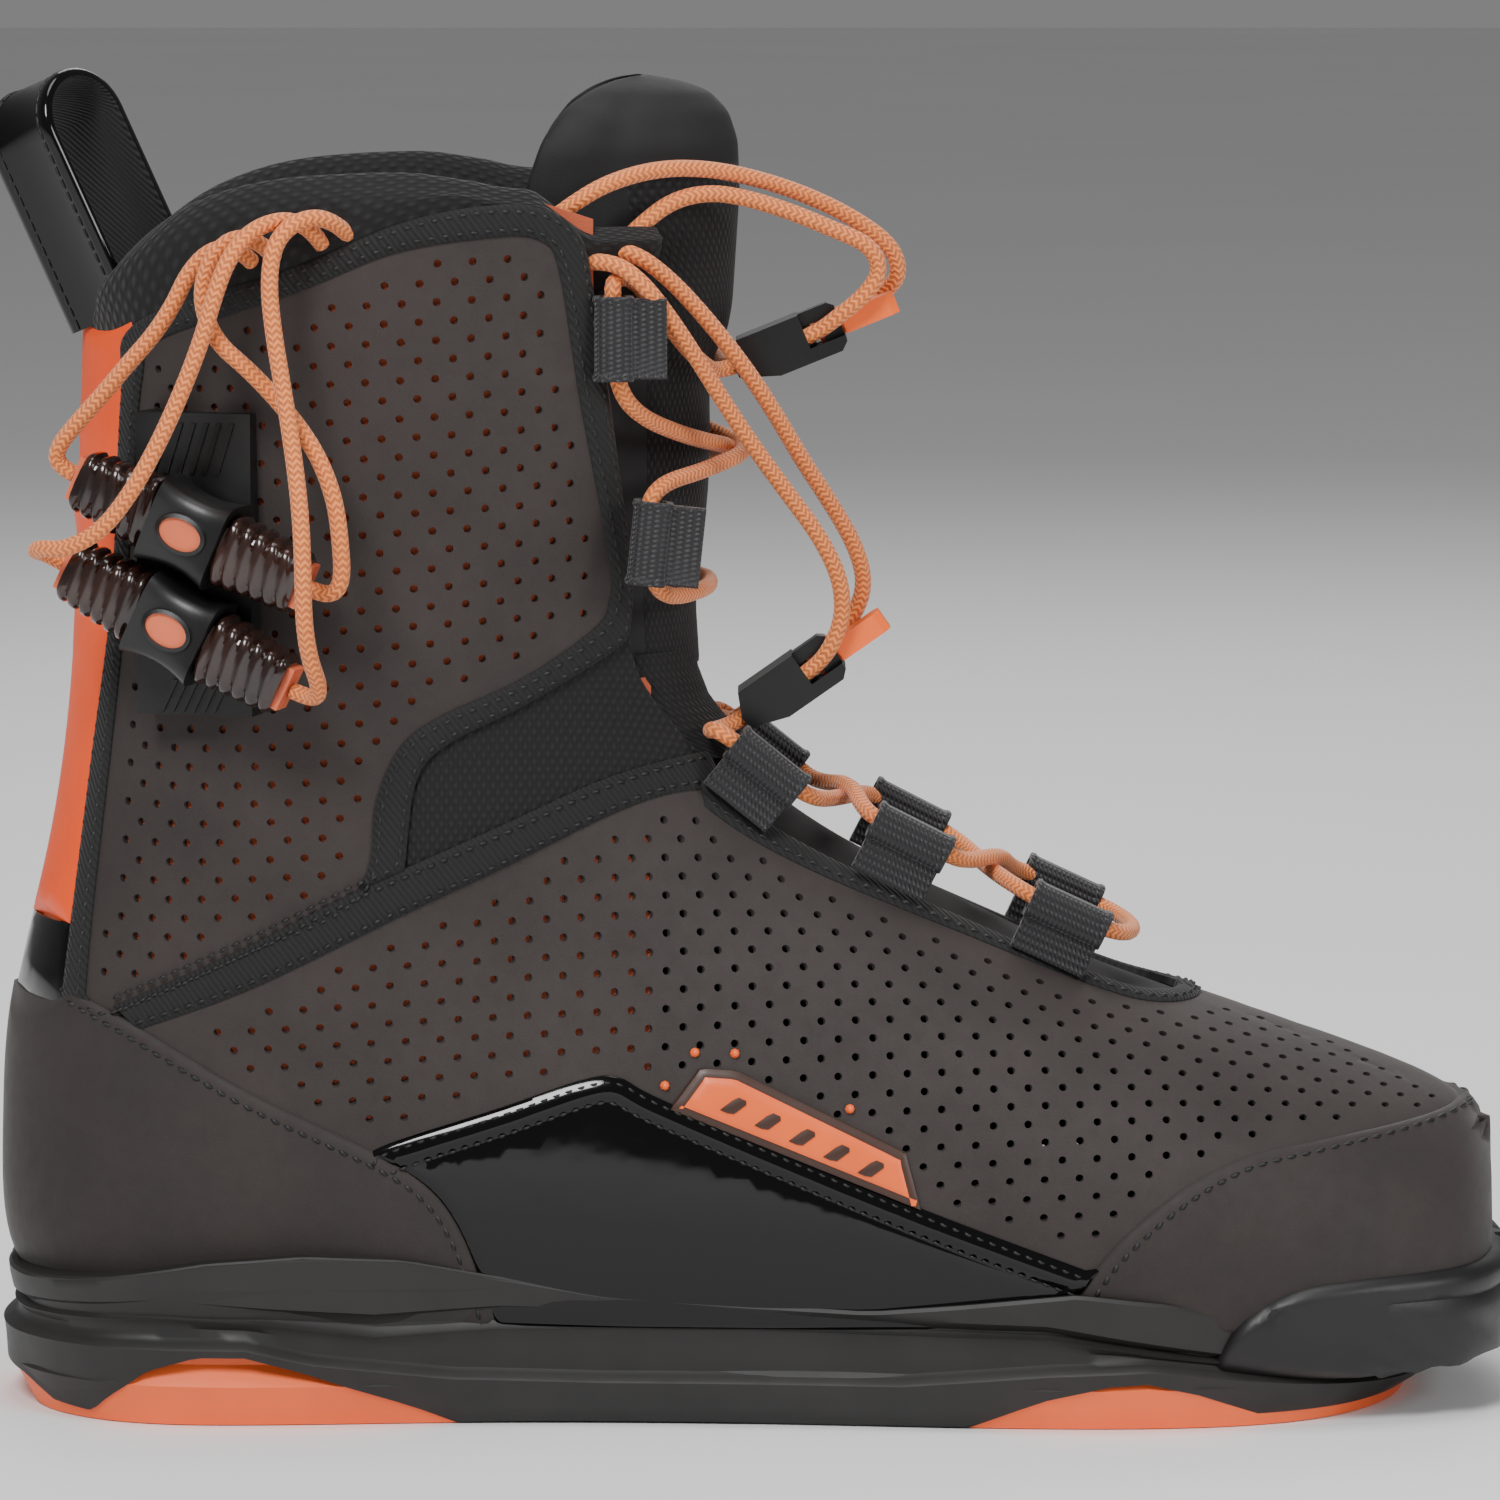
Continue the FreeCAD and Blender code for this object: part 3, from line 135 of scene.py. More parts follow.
def weights_v(v):
    v = v % 16
    knot = np.floor(v).astype(int)
    f = v - knot
    parts = ((1 - f) ** 3, 3 * f ** 3 - 6 * f ** 2 + 4, -3 * f ** 3 + 3 * f ** 2 + 3 * f + 1, f ** 3)
    out = np.zeros((len(v), 16))
    for shift, part in enumerate(parts):
        np.add.at(out, (np.arange(len(v)), (knot - 1 + shift) % 16), part / 6)
    return out


def surface(t, v, depth):
    """Points of the body surface set in by depth. t runs from the toe to the collar, v once around each
    section: 0 heel or sole, 0 to 8 the lateral side, 8 instep ridge or shin. t from -1 to 0 is the nose."""
    t, v, depth = (np.atleast_1d(np.asarray(a, float)) for a in (t, v, depth))
    t, v, depth = (a.ravel() for a in np.broadcast_arrays(t, v, depth))
    along, round_ = weights_t(t), weights_v(v)

    def at(around):
        outer = np.einsum("ni,nj,ijc->nc", along, around, NET_0)
        inner = np.einsum("ni,nj,ijc->nc", along, around, NET_8)
        return outer + (inner - outer) * (depth / 8)[:, None]

    points = at(round_)
    if (t < 0).any():
        across = np.clip(-t, 0, 1)[:, None] / 2
        points = points + (at(weights_v(16 - v)) - points) * across
        points[:, 0] += NOSE_BULGE * (4 * across * (1 - across))[:, 0]
    return points


def outward(t, v, depth=0.0):
    normal = surface(t, v, depth) - surface(t, v, np.asarray(depth) + 4.0)
    return normal / np.linalg.norm(normal, axis=1)[:, None]


# ---------------------------------------------------------------- flat map of the lateral half

GRID_T = np.concatenate([np.linspace(-1, 0, 9)[:-1], np.linspace(0, T_END - 1e-6, 341)])
GRID_V = np.linspace(0, 8, 81)


def grid_points():
    t, v = np.meshgrid(GRID_T, GRID_V, indexing="ij")
    return t.ravel(), v.ravel(), surface(t, v, 0.0).reshape(len(GRID_T), len(GRID_V), 3)


MESH_T, MESH_V, MESH_P = grid_points()


def unrolled():
    steps = np.linalg.norm(np.diff(MESH_P, axis=1), axis=2)
    arc = np.concatenate([np.zeros((len(GRID_T), 1)), np.cumsum(steps, axis=1)], axis=1)
    arc -= arc[:, 40:41]
    side = MESH_P[:, :, [0, 2]]
    chord = side[:, 80] - side[:, 0]
    chord /= np.linalg.norm(chord, axis=1)[:, None]
    flat = side[:, 40][:, None] + chord[:, None] * arc[..., None]
    travel = np.abs(MESH_P[:8, :, 1] - MESH_P[8, :, 1])
    flat[:8] = flat[8] + np.stack([travel, np.zeros_like(travel)], -1)
    return flat


def lookup(plane):
    """Tree over a plane view of the lateral half, which finds t and v from a point of that plane."""
    rows, columns = len(GRID_T), len(GRID_V)
    corners = [(float(a), float(b), 0.0) for a, b in plane.reshape(-1, 2)]
    faces = []
    for i in range(rows - 1):
        for j in range(columns - 1):
            a = i * columns + j
            faces += [(a, a + 1, a + columns + 1), (a, a + columns + 1, a + columns)]
    return BVHTree.FromPolygons(corners, faces), np.array(faces), np.array(corners)[:, :2]


FLAT = unrolled()
FLAT_TREE = lookup(FLAT)
SIDE_TREE = lookup(MESH_P[:, :, [0, 2]])
TOP_PART = MESH_P[:, :, [0, 1]].copy()
TOP_PART[:, :40] = TOP_PART[:, 40:41]
PLAN_TREE = lookup(TOP_PART)


def locate(points, where):
    tree, faces, corners = where
    found = []
    for a, b in points:
        near, _, index, _ = tree.find_nearest((float(a), float(b), 0.0))
        triangle = corners[faces[index]]
        edges = np.stack([triangle[1] - triangle[0], triangle[2] - triangle[0]], 1)
        share = np.linalg.lstsq(edges, np.array([near.x, near.y]) - triangle[0], rcond=None)[0]
        mix = np.clip(np.array([1 - share.sum(), share[0], share[1]]), 0, 1)
        mix /= mix.sum()
        found.append((mix @ MESH_T[faces[index]], mix @ MESH_V[faces[index]]))
    return np.array(found)


def flat_of(tv):
    """Flat position of t, v by interpolation in the grid."""
    rows = np.interp(tv[:, 0], GRID_T, np.arange(len(GRID_T)))
    columns = np.clip(tv[:, 1] / 8 * (len(GRID_V) - 1), 0, len(GRID_V) - 1)
    i, j = np.minimum(rows.astype(int), len(GRID_T) - 2), np.minimum(columns.astype(int), len(GRID_V) - 2)
    fi, fj = (rows - i)[:, None], (columns - j)[:, None]
    low = FLAT[i, j] * (1 - fj) + FLAT[i, j + 1] * fj
    high = FLAT[i + 1, j] * (1 - fj) + FLAT[i + 1, j + 1] * fj
    return low * (1 - fi) + high * fi


# ---------------------------------------------------------------- outlines


def resample(points, step):
    points = np.asarray(points, float)
    lengths = np.concatenate([[0], np.cumsum(np.linalg.norm(np.diff(points, axis=0), axis=1))])
    count = max(2, int(round(lengths[-1] / step)) + 1)
    at = np.linspace(0, lengths[-1], count)
    return np.stack([np.interp(at, lengths, points[:, k]) for k in range(points.shape[1])], 1)


def curved(points, step=1.6):
    """Catmull-Rom curve through the points, evenly resampled."""
    p = np.asarray(points, float)
    if len(p) < 3:
        return resample(p, step)
    ends = np.vstack([2 * p[0] - p[1], p, 2 * p[-1] - p[-2]])
    out = []
    for k in range(len(p) - 1):
        a, b, c, d = ends[k:k + 4]
        for f in np.linspace(0, 1, 9)[:-1]:
            out.append(0.5 * (2 * b + (c - a) * f + (2 * a - 5 * b + 4 * c - d) * f ** 2
                              + (3 * b - a - 3 * c + d) * f ** 3))
    return resample(np.array(out + [p[-1]]), step)


def side_line(points, smooth=True):
    """Flat outline of a line drawn in the side view."""
    path = curved(points) if smooth else resample(points, 1.6)
    return flat_of(locate(path, SIDE_TREE))


def along_t(v, start, end):
    count = max(3, int(abs(end - start) * 9))
    return flat_of(np.stack([np.linspace(start, end, count), np.full(count, float(v))], 1))


def along_v(t, start, end):
    count = max(3, int(abs(end - start) * 5))
    return flat_of(np.stack([np.full(count, float(t)), np.linspace(start, end, count)], 1))


def closed(*parts):
    points = np.vstack(parts)
    keep = [points[0]]
    for point in points[1:]:
        if np.linalg.norm(point - keep[-1]) > 0.35:
            keep.append(point)
    if np.linalg.norm(keep[0] - keep[-1]) < 0.35:
        keep.pop()
    return np.array(keep)


def inside(points, loop):
    x, y = points[:, 0][:, None], points[:, 1][:, None]
    a, b = loop, np.roll(loop, -1, 0)
    crosses = (a[:, 1] > y) != (b[:, 1] > y)
    slope = np.where(np.abs(b[:, 1] - a[:, 1]) < 1e-12, 1e-12, b[:, 1] - a[:, 1])
    return ((x < (b[:, 0] - a[:, 0]) * (y - a[:, 1]) / slope + a[:, 0]) & crosses).sum(1) % 2 == 1


def distance(points, line, ring_closed=True):
    a = line
    b = np.roll(line, -1, 0) if ring_closed else line[1:]
    a = a if ring_closed else a[:-1]
    best = np.full(len(points), 1e9)
    for start in range(0, len(points), 2000):
        p = points[start:start + 2000][:, None]
        d = b - a
        f = np.clip(((p - a) * d).sum(2) / np.maximum((d * d).sum(1), 1e-12), 0, 1)
        best[start:start + 2000] = np.linalg.norm(p - a - f[..., None] * d, axis=2).min(1)
    return best


def offset(line, amount, ring_closed=True):
    """The line moved sideways by amount, to its left."""
    if ring_closed:
        tangent = np.roll(line, -1, 0) - np.roll(line, 1, 0)
    else:
        tangent = np.gradient(line, axis=0)
    tangent /= np.maximum(np.linalg.norm(tangent, axis=1), 1e-9)[:, None]
    return line + amount * np.stack([-tangent[:, 1], tangent[:, 0]], 1)


def turned_left(loop):
    a, b = loop, np.roll(loop, -1, 0)
    return loop if (a[:, 0] * b[:, 1] - b[:, 0] * a[:, 1]).sum() > 0 else loop[::-1]


# ---------------------------------------------------------------- meshes


def new_object(name, points, faces, uv=None, sharp=35):
    mesh = bpy.data.meshes.new(name)
    mesh.from_pydata([tuple(map(float, p)) for p in np.asarray(points) * MM], [],
                     [tuple(map(int, f)) for f in faces])
    mesh.validate()
    if uv is not None:
        layer = mesh.uv_layers.new(name="flat")
        at = np.empty(len(mesh.loops), int)
        mesh.loops.foreach_get("vertex_index", at)
        layer.data.foreach_set("uv", np.asarray(uv, float)[at].ravel())
    mesh.polygons.foreach_set("use_smooth", [True] * len(mesh.polygons))
    mesh.set_sharp_from_angle(angle=math.radians(sharp))
    obj = bpy.data.objects.new(name, mesh)
    bpy.context.scene.collection.objects.link(obj)
    return obj


def dress(obj, material, body="boot", replaces=()):
    obj.data.materials.clear()
    for item in material if isinstance(material, (list, tuple)) else [material]:
        obj.data.materials.append(item)
    if body:
        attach(obj, body)
    if replaces:
        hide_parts(*replaces)
    return obj


def lattice(loop, first, second, margin, rim):
    low, high = loop.min(0) - 10, loop.max(0) + 10
    base = np.array([first, second])
    span = int(np.linalg.norm(high - low) / min(np.linalg.norm(base, axis=1))) + 8
    i, j = np.meshgrid(np.arange(-span, span), np.arange(-span, span))
    points = (low + high) / 2 + i.ravel()[:, None] * base[0] + j.ravel()[:, None] * base[1]
    points = points[((points > low) & (points < high)).all(1)]
    points = points[inside(points, loop)]
    return points[distance(points, rim) > margin] if len(points) else points


HOLE_SIDES = 10
UV_PER_MM = 0.01
EDGE_AT, EDGE_SHARE = [0, 0.45, 1.1, 2.0], [1.0, 0.45, 0.12, 0.0]
RINGS = ((0.45, 0.35), (1.1, 0.75), (2.0, 1.0))


def flat_mesh(loop, holes, hole_radius, step=4.5, rings=()):
    """Triangles that fill the loop and leave the holes open."""
    loop = turned_left(loop)
    points, edges = [tuple(p) for p in loop], [(k, (k + 1) % len(loop)) for k in range(len(loop))]
    for amount in [a for a, _ in RINGS] + list(rings):
        ring_points = offset(loop, amount)
        ok = inside(ring_points, loop) & (distance(ring_points, loop) > amount * 0.8)
        points += [tuple(p) for p in ring_points[ok]]
    fill = lattice(loop, (step, 0), (step / 2, step * 0.87), max([2.9] + [r + 1 for r in rings]), loop)
    if len(holes) and len(fill):
        gap = np.linalg.norm(fill[:, None] - holes[None], axis=2).min(1)
        fill = fill[gap > hole_radius + 0.9]
    points += [tuple(p) for p in fill]
    circle = np.array([(math.cos(a), math.sin(a)) for a in np.arange(HOLE_SIDES) * 2 * math.pi / HOLE_SIDES])
    for centre in holes:
        start = len(points)
        points += [tuple(centre + c * hole_radius) for c in circle]
        edges += [(start + k, start + (k + 1) % HOLE_SIDES) for k in range(HOLE_SIDES)]
        points += [tuple(centre + c * (hole_radius + 0.4)) for c in circle]
    verts, _, faces, _, _, _ = delaunay_2d_cdt([Vector(p) for p in points], edges, [], 0, 1e-4)
    verts = np.array([(v.x, v.y) for v in verts])
    faces = np.array([f for f in faces if len(f) == 3])
    middle = verts[faces].mean(1)
    good = inside(middle, loop)
    if len(holes):
        near = np.array([np.linalg.norm(holes - m, axis=1).min() for m in middle])
        good &= near > hole_radius * 0.97
    return verts, faces[good]


def panel(name, loop, side, top, bottom, material, replaces, holes=(), hole_radius=0, roll=0.5,
          step=4.5,
          relief=None, rings=()):
    """Closed sheet on the body surface. side is lateral, medial or both, and both halves join where they
    meet. The edge is rolled down by roll over the last two millimetres."""
    loop = turned_left(loop)
    holes = np.asarray(holes, float).reshape(-1, 2)
    flat, faces = flat_mesh(loop, holes, hole_radius, step, rings)
    tv = locate(flat, FLAT_TREE)
    tv[tv[:, 1] > 7.985, 1] = 8
    tv[tv[:, 1] < 0.015, 1] = 0
    tv[tv[:, 0] < -0.985, 0] = -1
    on_middle = (tv[:, 1] == 8) | (tv[:, 1] == 0) | (tv[:, 0] == -1)
    rim = loop
    if side == "both":
        ends = locate(loop, FLAT_TREE)
        middle = (ends[:, 1] > 7.97) | (ends[:, 1] < 0.03) | (ends[:, 0] < -0.97)
        rim = loop[~middle]
        edge = distance(flat, rim, False) if len(rim) > 2 else np.full(len(flat), 9.0)
    else:
        edge = distance(flat, rim)
    height = np.full(len(flat), float(top)) + roll * np.interp(edge, EDGE_AT, EDGE_SHARE)
    if relief is not None:
        height = height - relief(flat, tv)
    sides = {"lateral": (-1,), "medial": (1,), "both": (-1, 1)}[side]
    all_tv, all_flat, all_top, all_faces = [], [], [], []
    index_of, start = {}, 0
    for sign in sides:
        v = tv[:, 1] if sign < 0 else 16 - tv[:, 1]
        ids = np.empty(len(tv), int)
        for k in range(len(tv)):
            key = (round(tv[k, 0], 5), round(tv[k, 1], 5), round(flat[k, 0], 3)) if on_middle[k] else None
            if key is not None and key in index_of:
                ids[k] = index_of[key]
                continue
            ids[k] = len(all_tv)
            if key is not None:
                index_of[key] = ids[k]
            all_tv.append((tv[k, 0], v[k]))
            all_flat.append((flat[k, 0], flat[k, 1] * (1 if sign < 0 else -1)))
            all_top.append(height[k])
        turned = faces if sign < 0 else faces[:, ::-1]
        all_faces.append(ids[turned])
    all_tv, all_top = np.array(all_tv), np.array(all_top)
    top_faces = np.vstack(all_faces)
    upper = surface(all_tv[:, 0], all_tv[:, 1], all_top)
    lower = surface(all_tv[:, 0], all_tv[:, 1], bottom)
    a, b, c = (upper[top_faces[:, k]] for k in range(3))
    facing = (np.cross(b - a, c - a) * outward(all_tv[top_faces[:, 0], 0],
                                               all_tv[top_faces[:, 0], 1])).sum(1).sum()
    if facing < 0:
        top_faces = top_faces[:, ::-1]
    count = len(upper)
    seen = {}
    for face in top_faces:
        for k in range(3):
            edge_key = (face[k], face[(k + 1) % 3])
            seen[edge_key] = True
    walls = [(p, p + count, q + count, q) for p, q in seen if (q, p) not in seen]
    every = [tuple(f) for f in top_faces] + [tuple(f[::-1] + count) for f in top_faces] + walls
    uv = np.vstack([all_flat, all_flat])
    obj = new_object(name, np.vstack([upper, lower]), every, uv * UV_PER_MM)
    return dress(obj, material, "boot", replaces)


def stitches(name, lines, depth, side, material, pitch=3.0, length=2.1, width=0.42):
    """Rows of short raised threads along flat lines."""
    points, faces = [], []
    around, rows = 6, 5
    for line in lines:
        path = resample(line, pitch)
        middle = (path[:-1] + path[1:]) / 2
        ahead = path[1:] - path[:-1]
        ahead /= np.linalg.norm(ahead, axis=1)[:, None]
        tv0 = locate(middle - ahead * length / 2, FLAT_TREE)
        tv1 = locate(middle + ahead * length / 2, FLAT_TREE)
        for sign in {"lateral": (-1,), "medial": (1,), "both": (-1, 1)}[side]:
            v0, v1 = (tv0[:, 1], tv1[:, 1]) if sign < 0 else (16 - tv0[:, 1], 16 - tv1[:, 1])
            start, end = surface(tv0[:, 0], v0, depth), surface(tv1[:, 0], v1, depth)
            normal = outward(tv0[:, 0], v0)
            for p, q, n in zip(start, end, normal):
                axis = q - p
                reach = np.linalg.norm(axis)
                if reach < 0.4 * length:
                    continue
                axis /= reach
                across = np.cross(n, axis)
                base = len(points)
                for r in range(rows):
                    f = r / (rows - 1)
                    swell = math.sin(math.pi * (0.08 + 0.84 * f)) ** 0.6
                    dip = -0.25 * (1 - math.sin(math.pi * f))
                    for s in range(around):
                        angle = 2 * math.pi * s / around
                        points.append(p + axis * reach * f + across * math.cos(angle) * width * swell
                                      + n * (math.sin(angle) * width * swell + dip))
                for r in range(rows - 1):
                    for s in range(around):
                        a, b = base + r * around + s, base + r * around + (s + 1) % around
                        faces.append((a, b, b + around, a + around))
                faces.append(tuple(base + s for s in range(around))[::-1])
                faces.append(tuple(base + (rows - 1) * around + s for s in range(around)))
    obj = new_object(name, np.array(points), faces, sharp=60)
    return dress(obj, material)


# ---------------------------------------------------------------- materials


class Shader:
    """Small helper that adds nodes to a material."""

    def __init__(self, name, color, rough, **sockets):
        self.material = bpy.data.materials.new(name)
        self.material.use_nodes = True
        self.tree = self.material.node_tree
        self.surface = self.tree.nodes["Principled BSDF"]
        self.surface.inputs["Base Color"].default_value = (*color, 1)
        self.surface.inputs["Roughness"].default_value = rough
        for key, value in sockets.items():
            self.surface.inputs[key.replace("_", " ")].default_value = value
        self.color = color
        self.bump_from = None

    def node(self, kind, values=(), **settings):
        node = self.tree.nodes.new("ShaderNode" + kind)
        for key, value in settings.items():
            setattr(node, key, value)
        for key, value in dict(values).items():
            if isinstance(value, bpy.types.NodeSocket):
                self.tree.links.new(value, node.inputs[key])
            else:
                node.inputs[key].default_value = value
        return node

    def math(self, operation, a, b=0.0, c=0.0):
        return self.node("Math", {0: a, 1: b, 2: c}, operation=operation).outputs[0]

    def place(self, uv=False):
        coordinates = self.node("TexCoord")
        return self.node("UVMap", uv_map="flat").outputs[0] if uv else coordinates.outputs["Object"]

    def noise(self, scale, detail=3.0, uv=False):
        return self.node("TexNoise", {"Vector": self.place(uv), "Scale": scale,
                                      "Detail": detail}).outputs["Fac"]

    def bump(self, height, strength, distance_mm):
        values = {"Height": height, "Strength": strength, "Distance": distance_mm * MM}
        if self.bump_from:
            values["Normal"] = self.bump_from
        self.bump_from = self.node("Bump", values).outputs[0]
        self.tree.links.new(self.bump_from, self.surface.inputs["Normal"])

    def vary(self, fac, dark, light):
        ramp = self.node("ValToRGB", {"Fac": fac})
        ramp.color_ramp.elements[0].color = (*dark, 1)
        ramp.color_ramp.elements[1].color = (*light, 1)
        ramp.color_ramp.elements[0].position, ramp.color_ramp.elements[1].position = 0.3, 0.7
        self.tree.links.new(ramp.outputs[0], self.surface.inputs["Base Color"])
        return ramp

    def roughen(self, fac, low, high):
        spread = self.node("MapRange", {"Value": fac, "To Min": low, "To Max": high})
        self.tree.links.new(spread.outputs[0], self.surface.inputs["Roughness"])

    def split(self, uv=True):
        parts = self.node("SeparateXYZ", {0: self.place(uv)})
        return parts.outputs[0], parts.outputs[1]

    def wave(self, a, b, ka, kb, shift=0.0):
        phase = self.math("MULTIPLY_ADD", a, ka, self.math("MULTIPLY_ADD", b, kb, shift))
        return self.math("MULTIPLY_ADD", self.math("SINE", phase), 0.5, 0.5)


def scaled(color, factor):
    return tuple(min(1.0, c * factor) for c in color)


def plastic(name, color, rough, grain=900, strength=0.25):
    s = Shader(name, color, rough)
    s.bump(s.noise(grain), strength, 0.12)
    s.vary(s.noise(60, 4), scaled(color, 0.8), scaled(color, 1.25))
    s.roughen(s.noise(130, 4), rough - 0.07, rough + 0.1)
    return s.material


def nubuck(name, color):
    """Matte synthetic leather with a fine speckle."""
    s = Shader(name, color, 0.72, Sheen_Weight=0.12, Sheen_Roughness=0.4)
    fine = s.noise(2600, 2)
    s.bump(fine, 0.5, 0.1)
    s.bump(s.noise(90, 4), 0.18, 0.9)
    mixed = s.math("MULTIPLY_ADD", s.noise(45, 4), 0.6, s.math("MULTIPLY", fine, 0.4))
    s.vary(mixed, scaled(color, 0.72), scaled(color, 1.3))
    s.roughen(s.noise(300), 0.62, 0.82)
    return s.material


def patent(name):
    s = Shader(name, (0.0006, 0.0006, 0.0007), 0.06, Specular_IOR_Level=0.3, Coat_Weight=0.25,
               Coat_Roughness=0.03)
    s.bump(s.noise(38, 3), 0.35, 1.4)
    s.bump(s.noise(700), 0.06, 0.05)
    s.roughen(s.noise(50), 0.05, 0.14)
    return s.material


def twill(name, color, pitch=1.1):
    """Fine diagonal rib of a woven binding."""
    s = Shader(name, color, 0.8, Sheen_Weight=0.06)
    a, b = s.split()
    k = 2 * math.pi / (pitch * 0.01)
    rib = s.wave(a, b, k * 0.8, k * 0.6)
    s.bump(rib, 0.7, 0.25)
    s.bump(s.noise(1500), 0.3, 0.1)
    s.vary(rib, scaled(color, 0.45), scaled(color, 1.6))
    return s.material


def spacer_mesh(name, color, pitch=1.9, uv=True):
    """Knitted spacer fabric: a staggered net of small cells."""
    s = Shader(name, color, 0.85, Sheen_Weight=0.06)
    a, b = s.split(uv)
    unit = 0.01 if uv else 0.001
    k = 2 * math.pi / (pitch * unit)
    one, two = s.wave(a, b, k, k * 0.62), s.wave(a, b, k, -k * 0.62)
    cell = s.math("MULTIPLY", one, two)
    s.bump(cell, 0.9, 0.35)
    s.vary(cell, scaled(color, 0.3), scaled(color, 2.4))
    return s.material


def webbing(name, color):
    s = Shader(name, color, 0.5, Sheen_Weight=0.2)
    a, b = s.split()
    rib = s.wave(a, b, 2 * math.pi / 0.016, 0.0)
    picks = s.wave(a, b, math.pi / 0.016, 2 * math.pi / 0.010)
    cell = s.math("MULTIPLY", rib, picks)
    s.bump(cell, 1.0, 0.3)
    s.vary(cell, scaled(color, 0.35), scaled(color, 2.6))
    return s.material


def braid(name, color):
    """Round braid: two diagonal sets of strands that cross, in the tube's own coordinates."""
    s = Shader(name, color, 0.62, Sheen_Weight=0.25, Subsurface_Weight=0.12, Subsurface_Scale=0.001)
    s.surface.inputs["Subsurface Radius"].default_value = (1.0, 0.35, 0.15)
    a, b = s.split()
    turn = 2 * math.pi
    left, right = s.wave(a, b, turn * 3, turn * 3.0), s.wave(a, b, turn * 3, -turn * 3.0)
    over = s.math("GREATER_THAN", s.math("SINE", s.math("MULTIPLY", b, turn * 2.5)), 0.0)
    strand = s.math("ADD", s.math("MULTIPLY", left, over),
                    s.math("MULTIPLY", right, s.math("SUBTRACT", 1.0, over)))
    s.bump(strand, 0.9, 0.25)
    s.vary(strand, scaled(color, 0.55), scaled(color, 1.12))
    return s.material


def rubber(name, color, rough=0.42, glow=0.0):
    s = Shader(name, color, rough, Subsurface_Weight=glow, Subsurface_Scale=0.003)
    s.surface.inputs["Subsurface Radius"].default_value = (1.0, 0.4, 0.2)
    s.bump(s.noise(1100), 0.15, 0.1)
    s.vary(s.noise(40, 3), scaled(color, 0.88), scaled(color, 1.08))
    s.roughen(s.noise(180), rough - 0.06, rough + 0.1)
    return s.material


def smoke(name):
    """Dark translucent grip rubber over an orange core."""
    s = Shader(name, (0.035, 0.012, 0.008), 0.22, Coat_Weight=0.5, Coat_Roughness=0.1,
               Transmission_Weight=0.25)
    s.bump(s.noise(600), 0.1, 0.1)
    s.vary(s.noise(70), (0.012, 0.006, 0.005), (0.05, 0.018, 0.012))
    return s.material


def foam(name):
    """Orange foam, its orange darkened to brown as painted shade for the deep holes it is seen through, that turns
    black towards the toe.
    """
    s = Shader(name, (0.6, 0.12, 0.05), 0.9)
    x = s.node("SeparateXYZ", {0: s.place()}).outputs[0]
    fade = s.node("MapRange", {"Value": x, "From Min": 0.03, "From Max": 0.085, "To Min": 0.0,
                               "To Max": 1.0}).outputs[0]
    ramp = s.node("ValToRGB", {"Fac": fade})
    # painted shade: this brown orange is the foam's orange darkened because it lies deep in the holes
    ramp.color_ramp.elements[0].color = (0.42, 0.085, 0.035, 1)
    ramp.color_ramp.elements[1].color = (0.01, 0.008, 0.007, 1)
    s.tree.links.new(ramp.outputs[0], s.surface.inputs["Base Color"])
    s.bump(s.noise(1500), 0.6, 0.3)
    return s.material


GREY = (0.026, 0.0185, 0.0165)
M = {
    "vamp": nubuck("perforated_nubuck", GREY),
    "cap": nubuck("plain_nubuck", scaled(GREY, 0.82)),
    "patent": patent("patent_black"),
    "binding": twill("binding_twill", (0.0035, 0.0035, 0.0035)),
    "knit": spacer_mesh("spacer_mesh", (0.0035, 0.0034, 0.0038)),
    "neoprene": plastic("neoprene_edge", (0.0045, 0.0045, 0.005), 0.75, 1800, 0.5),
    "thread": plastic("stitch_thread", (0.004, 0.0038, 0.0038), 0.5, 3000, 0.3),
    "webbing": webbing("webbing_weave", (0.006, 0.0055, 0.008)),
    "lace": braid("lace_braid", (1.0, 0.25, 0.05)),
    "strip": rubber("heel_strip_orange", (1.0, 0.085, 0.004), 0.4),
    "badge": rubber("badge_orange", (1.0, 0.14, 0.02), 0.4),
    "badge_mark": rubber("badge_mark_dark", (0.05, 0.02, 0.012), 0.4),
    "pad": rubber("grip_pad_coral", (1.0, 0.15, 0.035), 0.5),
    "wedge": rubber("wedge_orange", (1.0, 0.15, 0.02), 0.35),
    "core": rubber("core_orange", (0.75, 0.16, 0.07), 0.35, 0.2),
    "chassis": plastic("chassis_moulded", (0.013, 0.0118, 0.0112), 0.5, 700, 0.25),
    "bumper": plastic("bumper_rubber", (0.006, 0.0056, 0.0056), 0.45, 1200, 0.3),
    "lock": plastic("lock_plastic", (0.0045, 0.0042, 0.0042), 0.3, 900, 0.12),
    "dock": plastic("dock_plastic", (0.006, 0.0058, 0.0058), 0.38, 900, 0.2),
    "smoke": smoke("smoke_grip"),
    "foam": foam("foam_orange_painted_shade"),
    "lining": spacer_mesh("lining_knit", (0.02, 0.02, 0.021), 2.4, uv=False),
    "plate": plastic("plate_nylon", (0.02, 0.02, 0.02), 0.6),
}

# ---------------------------------------------------------------- side outlines

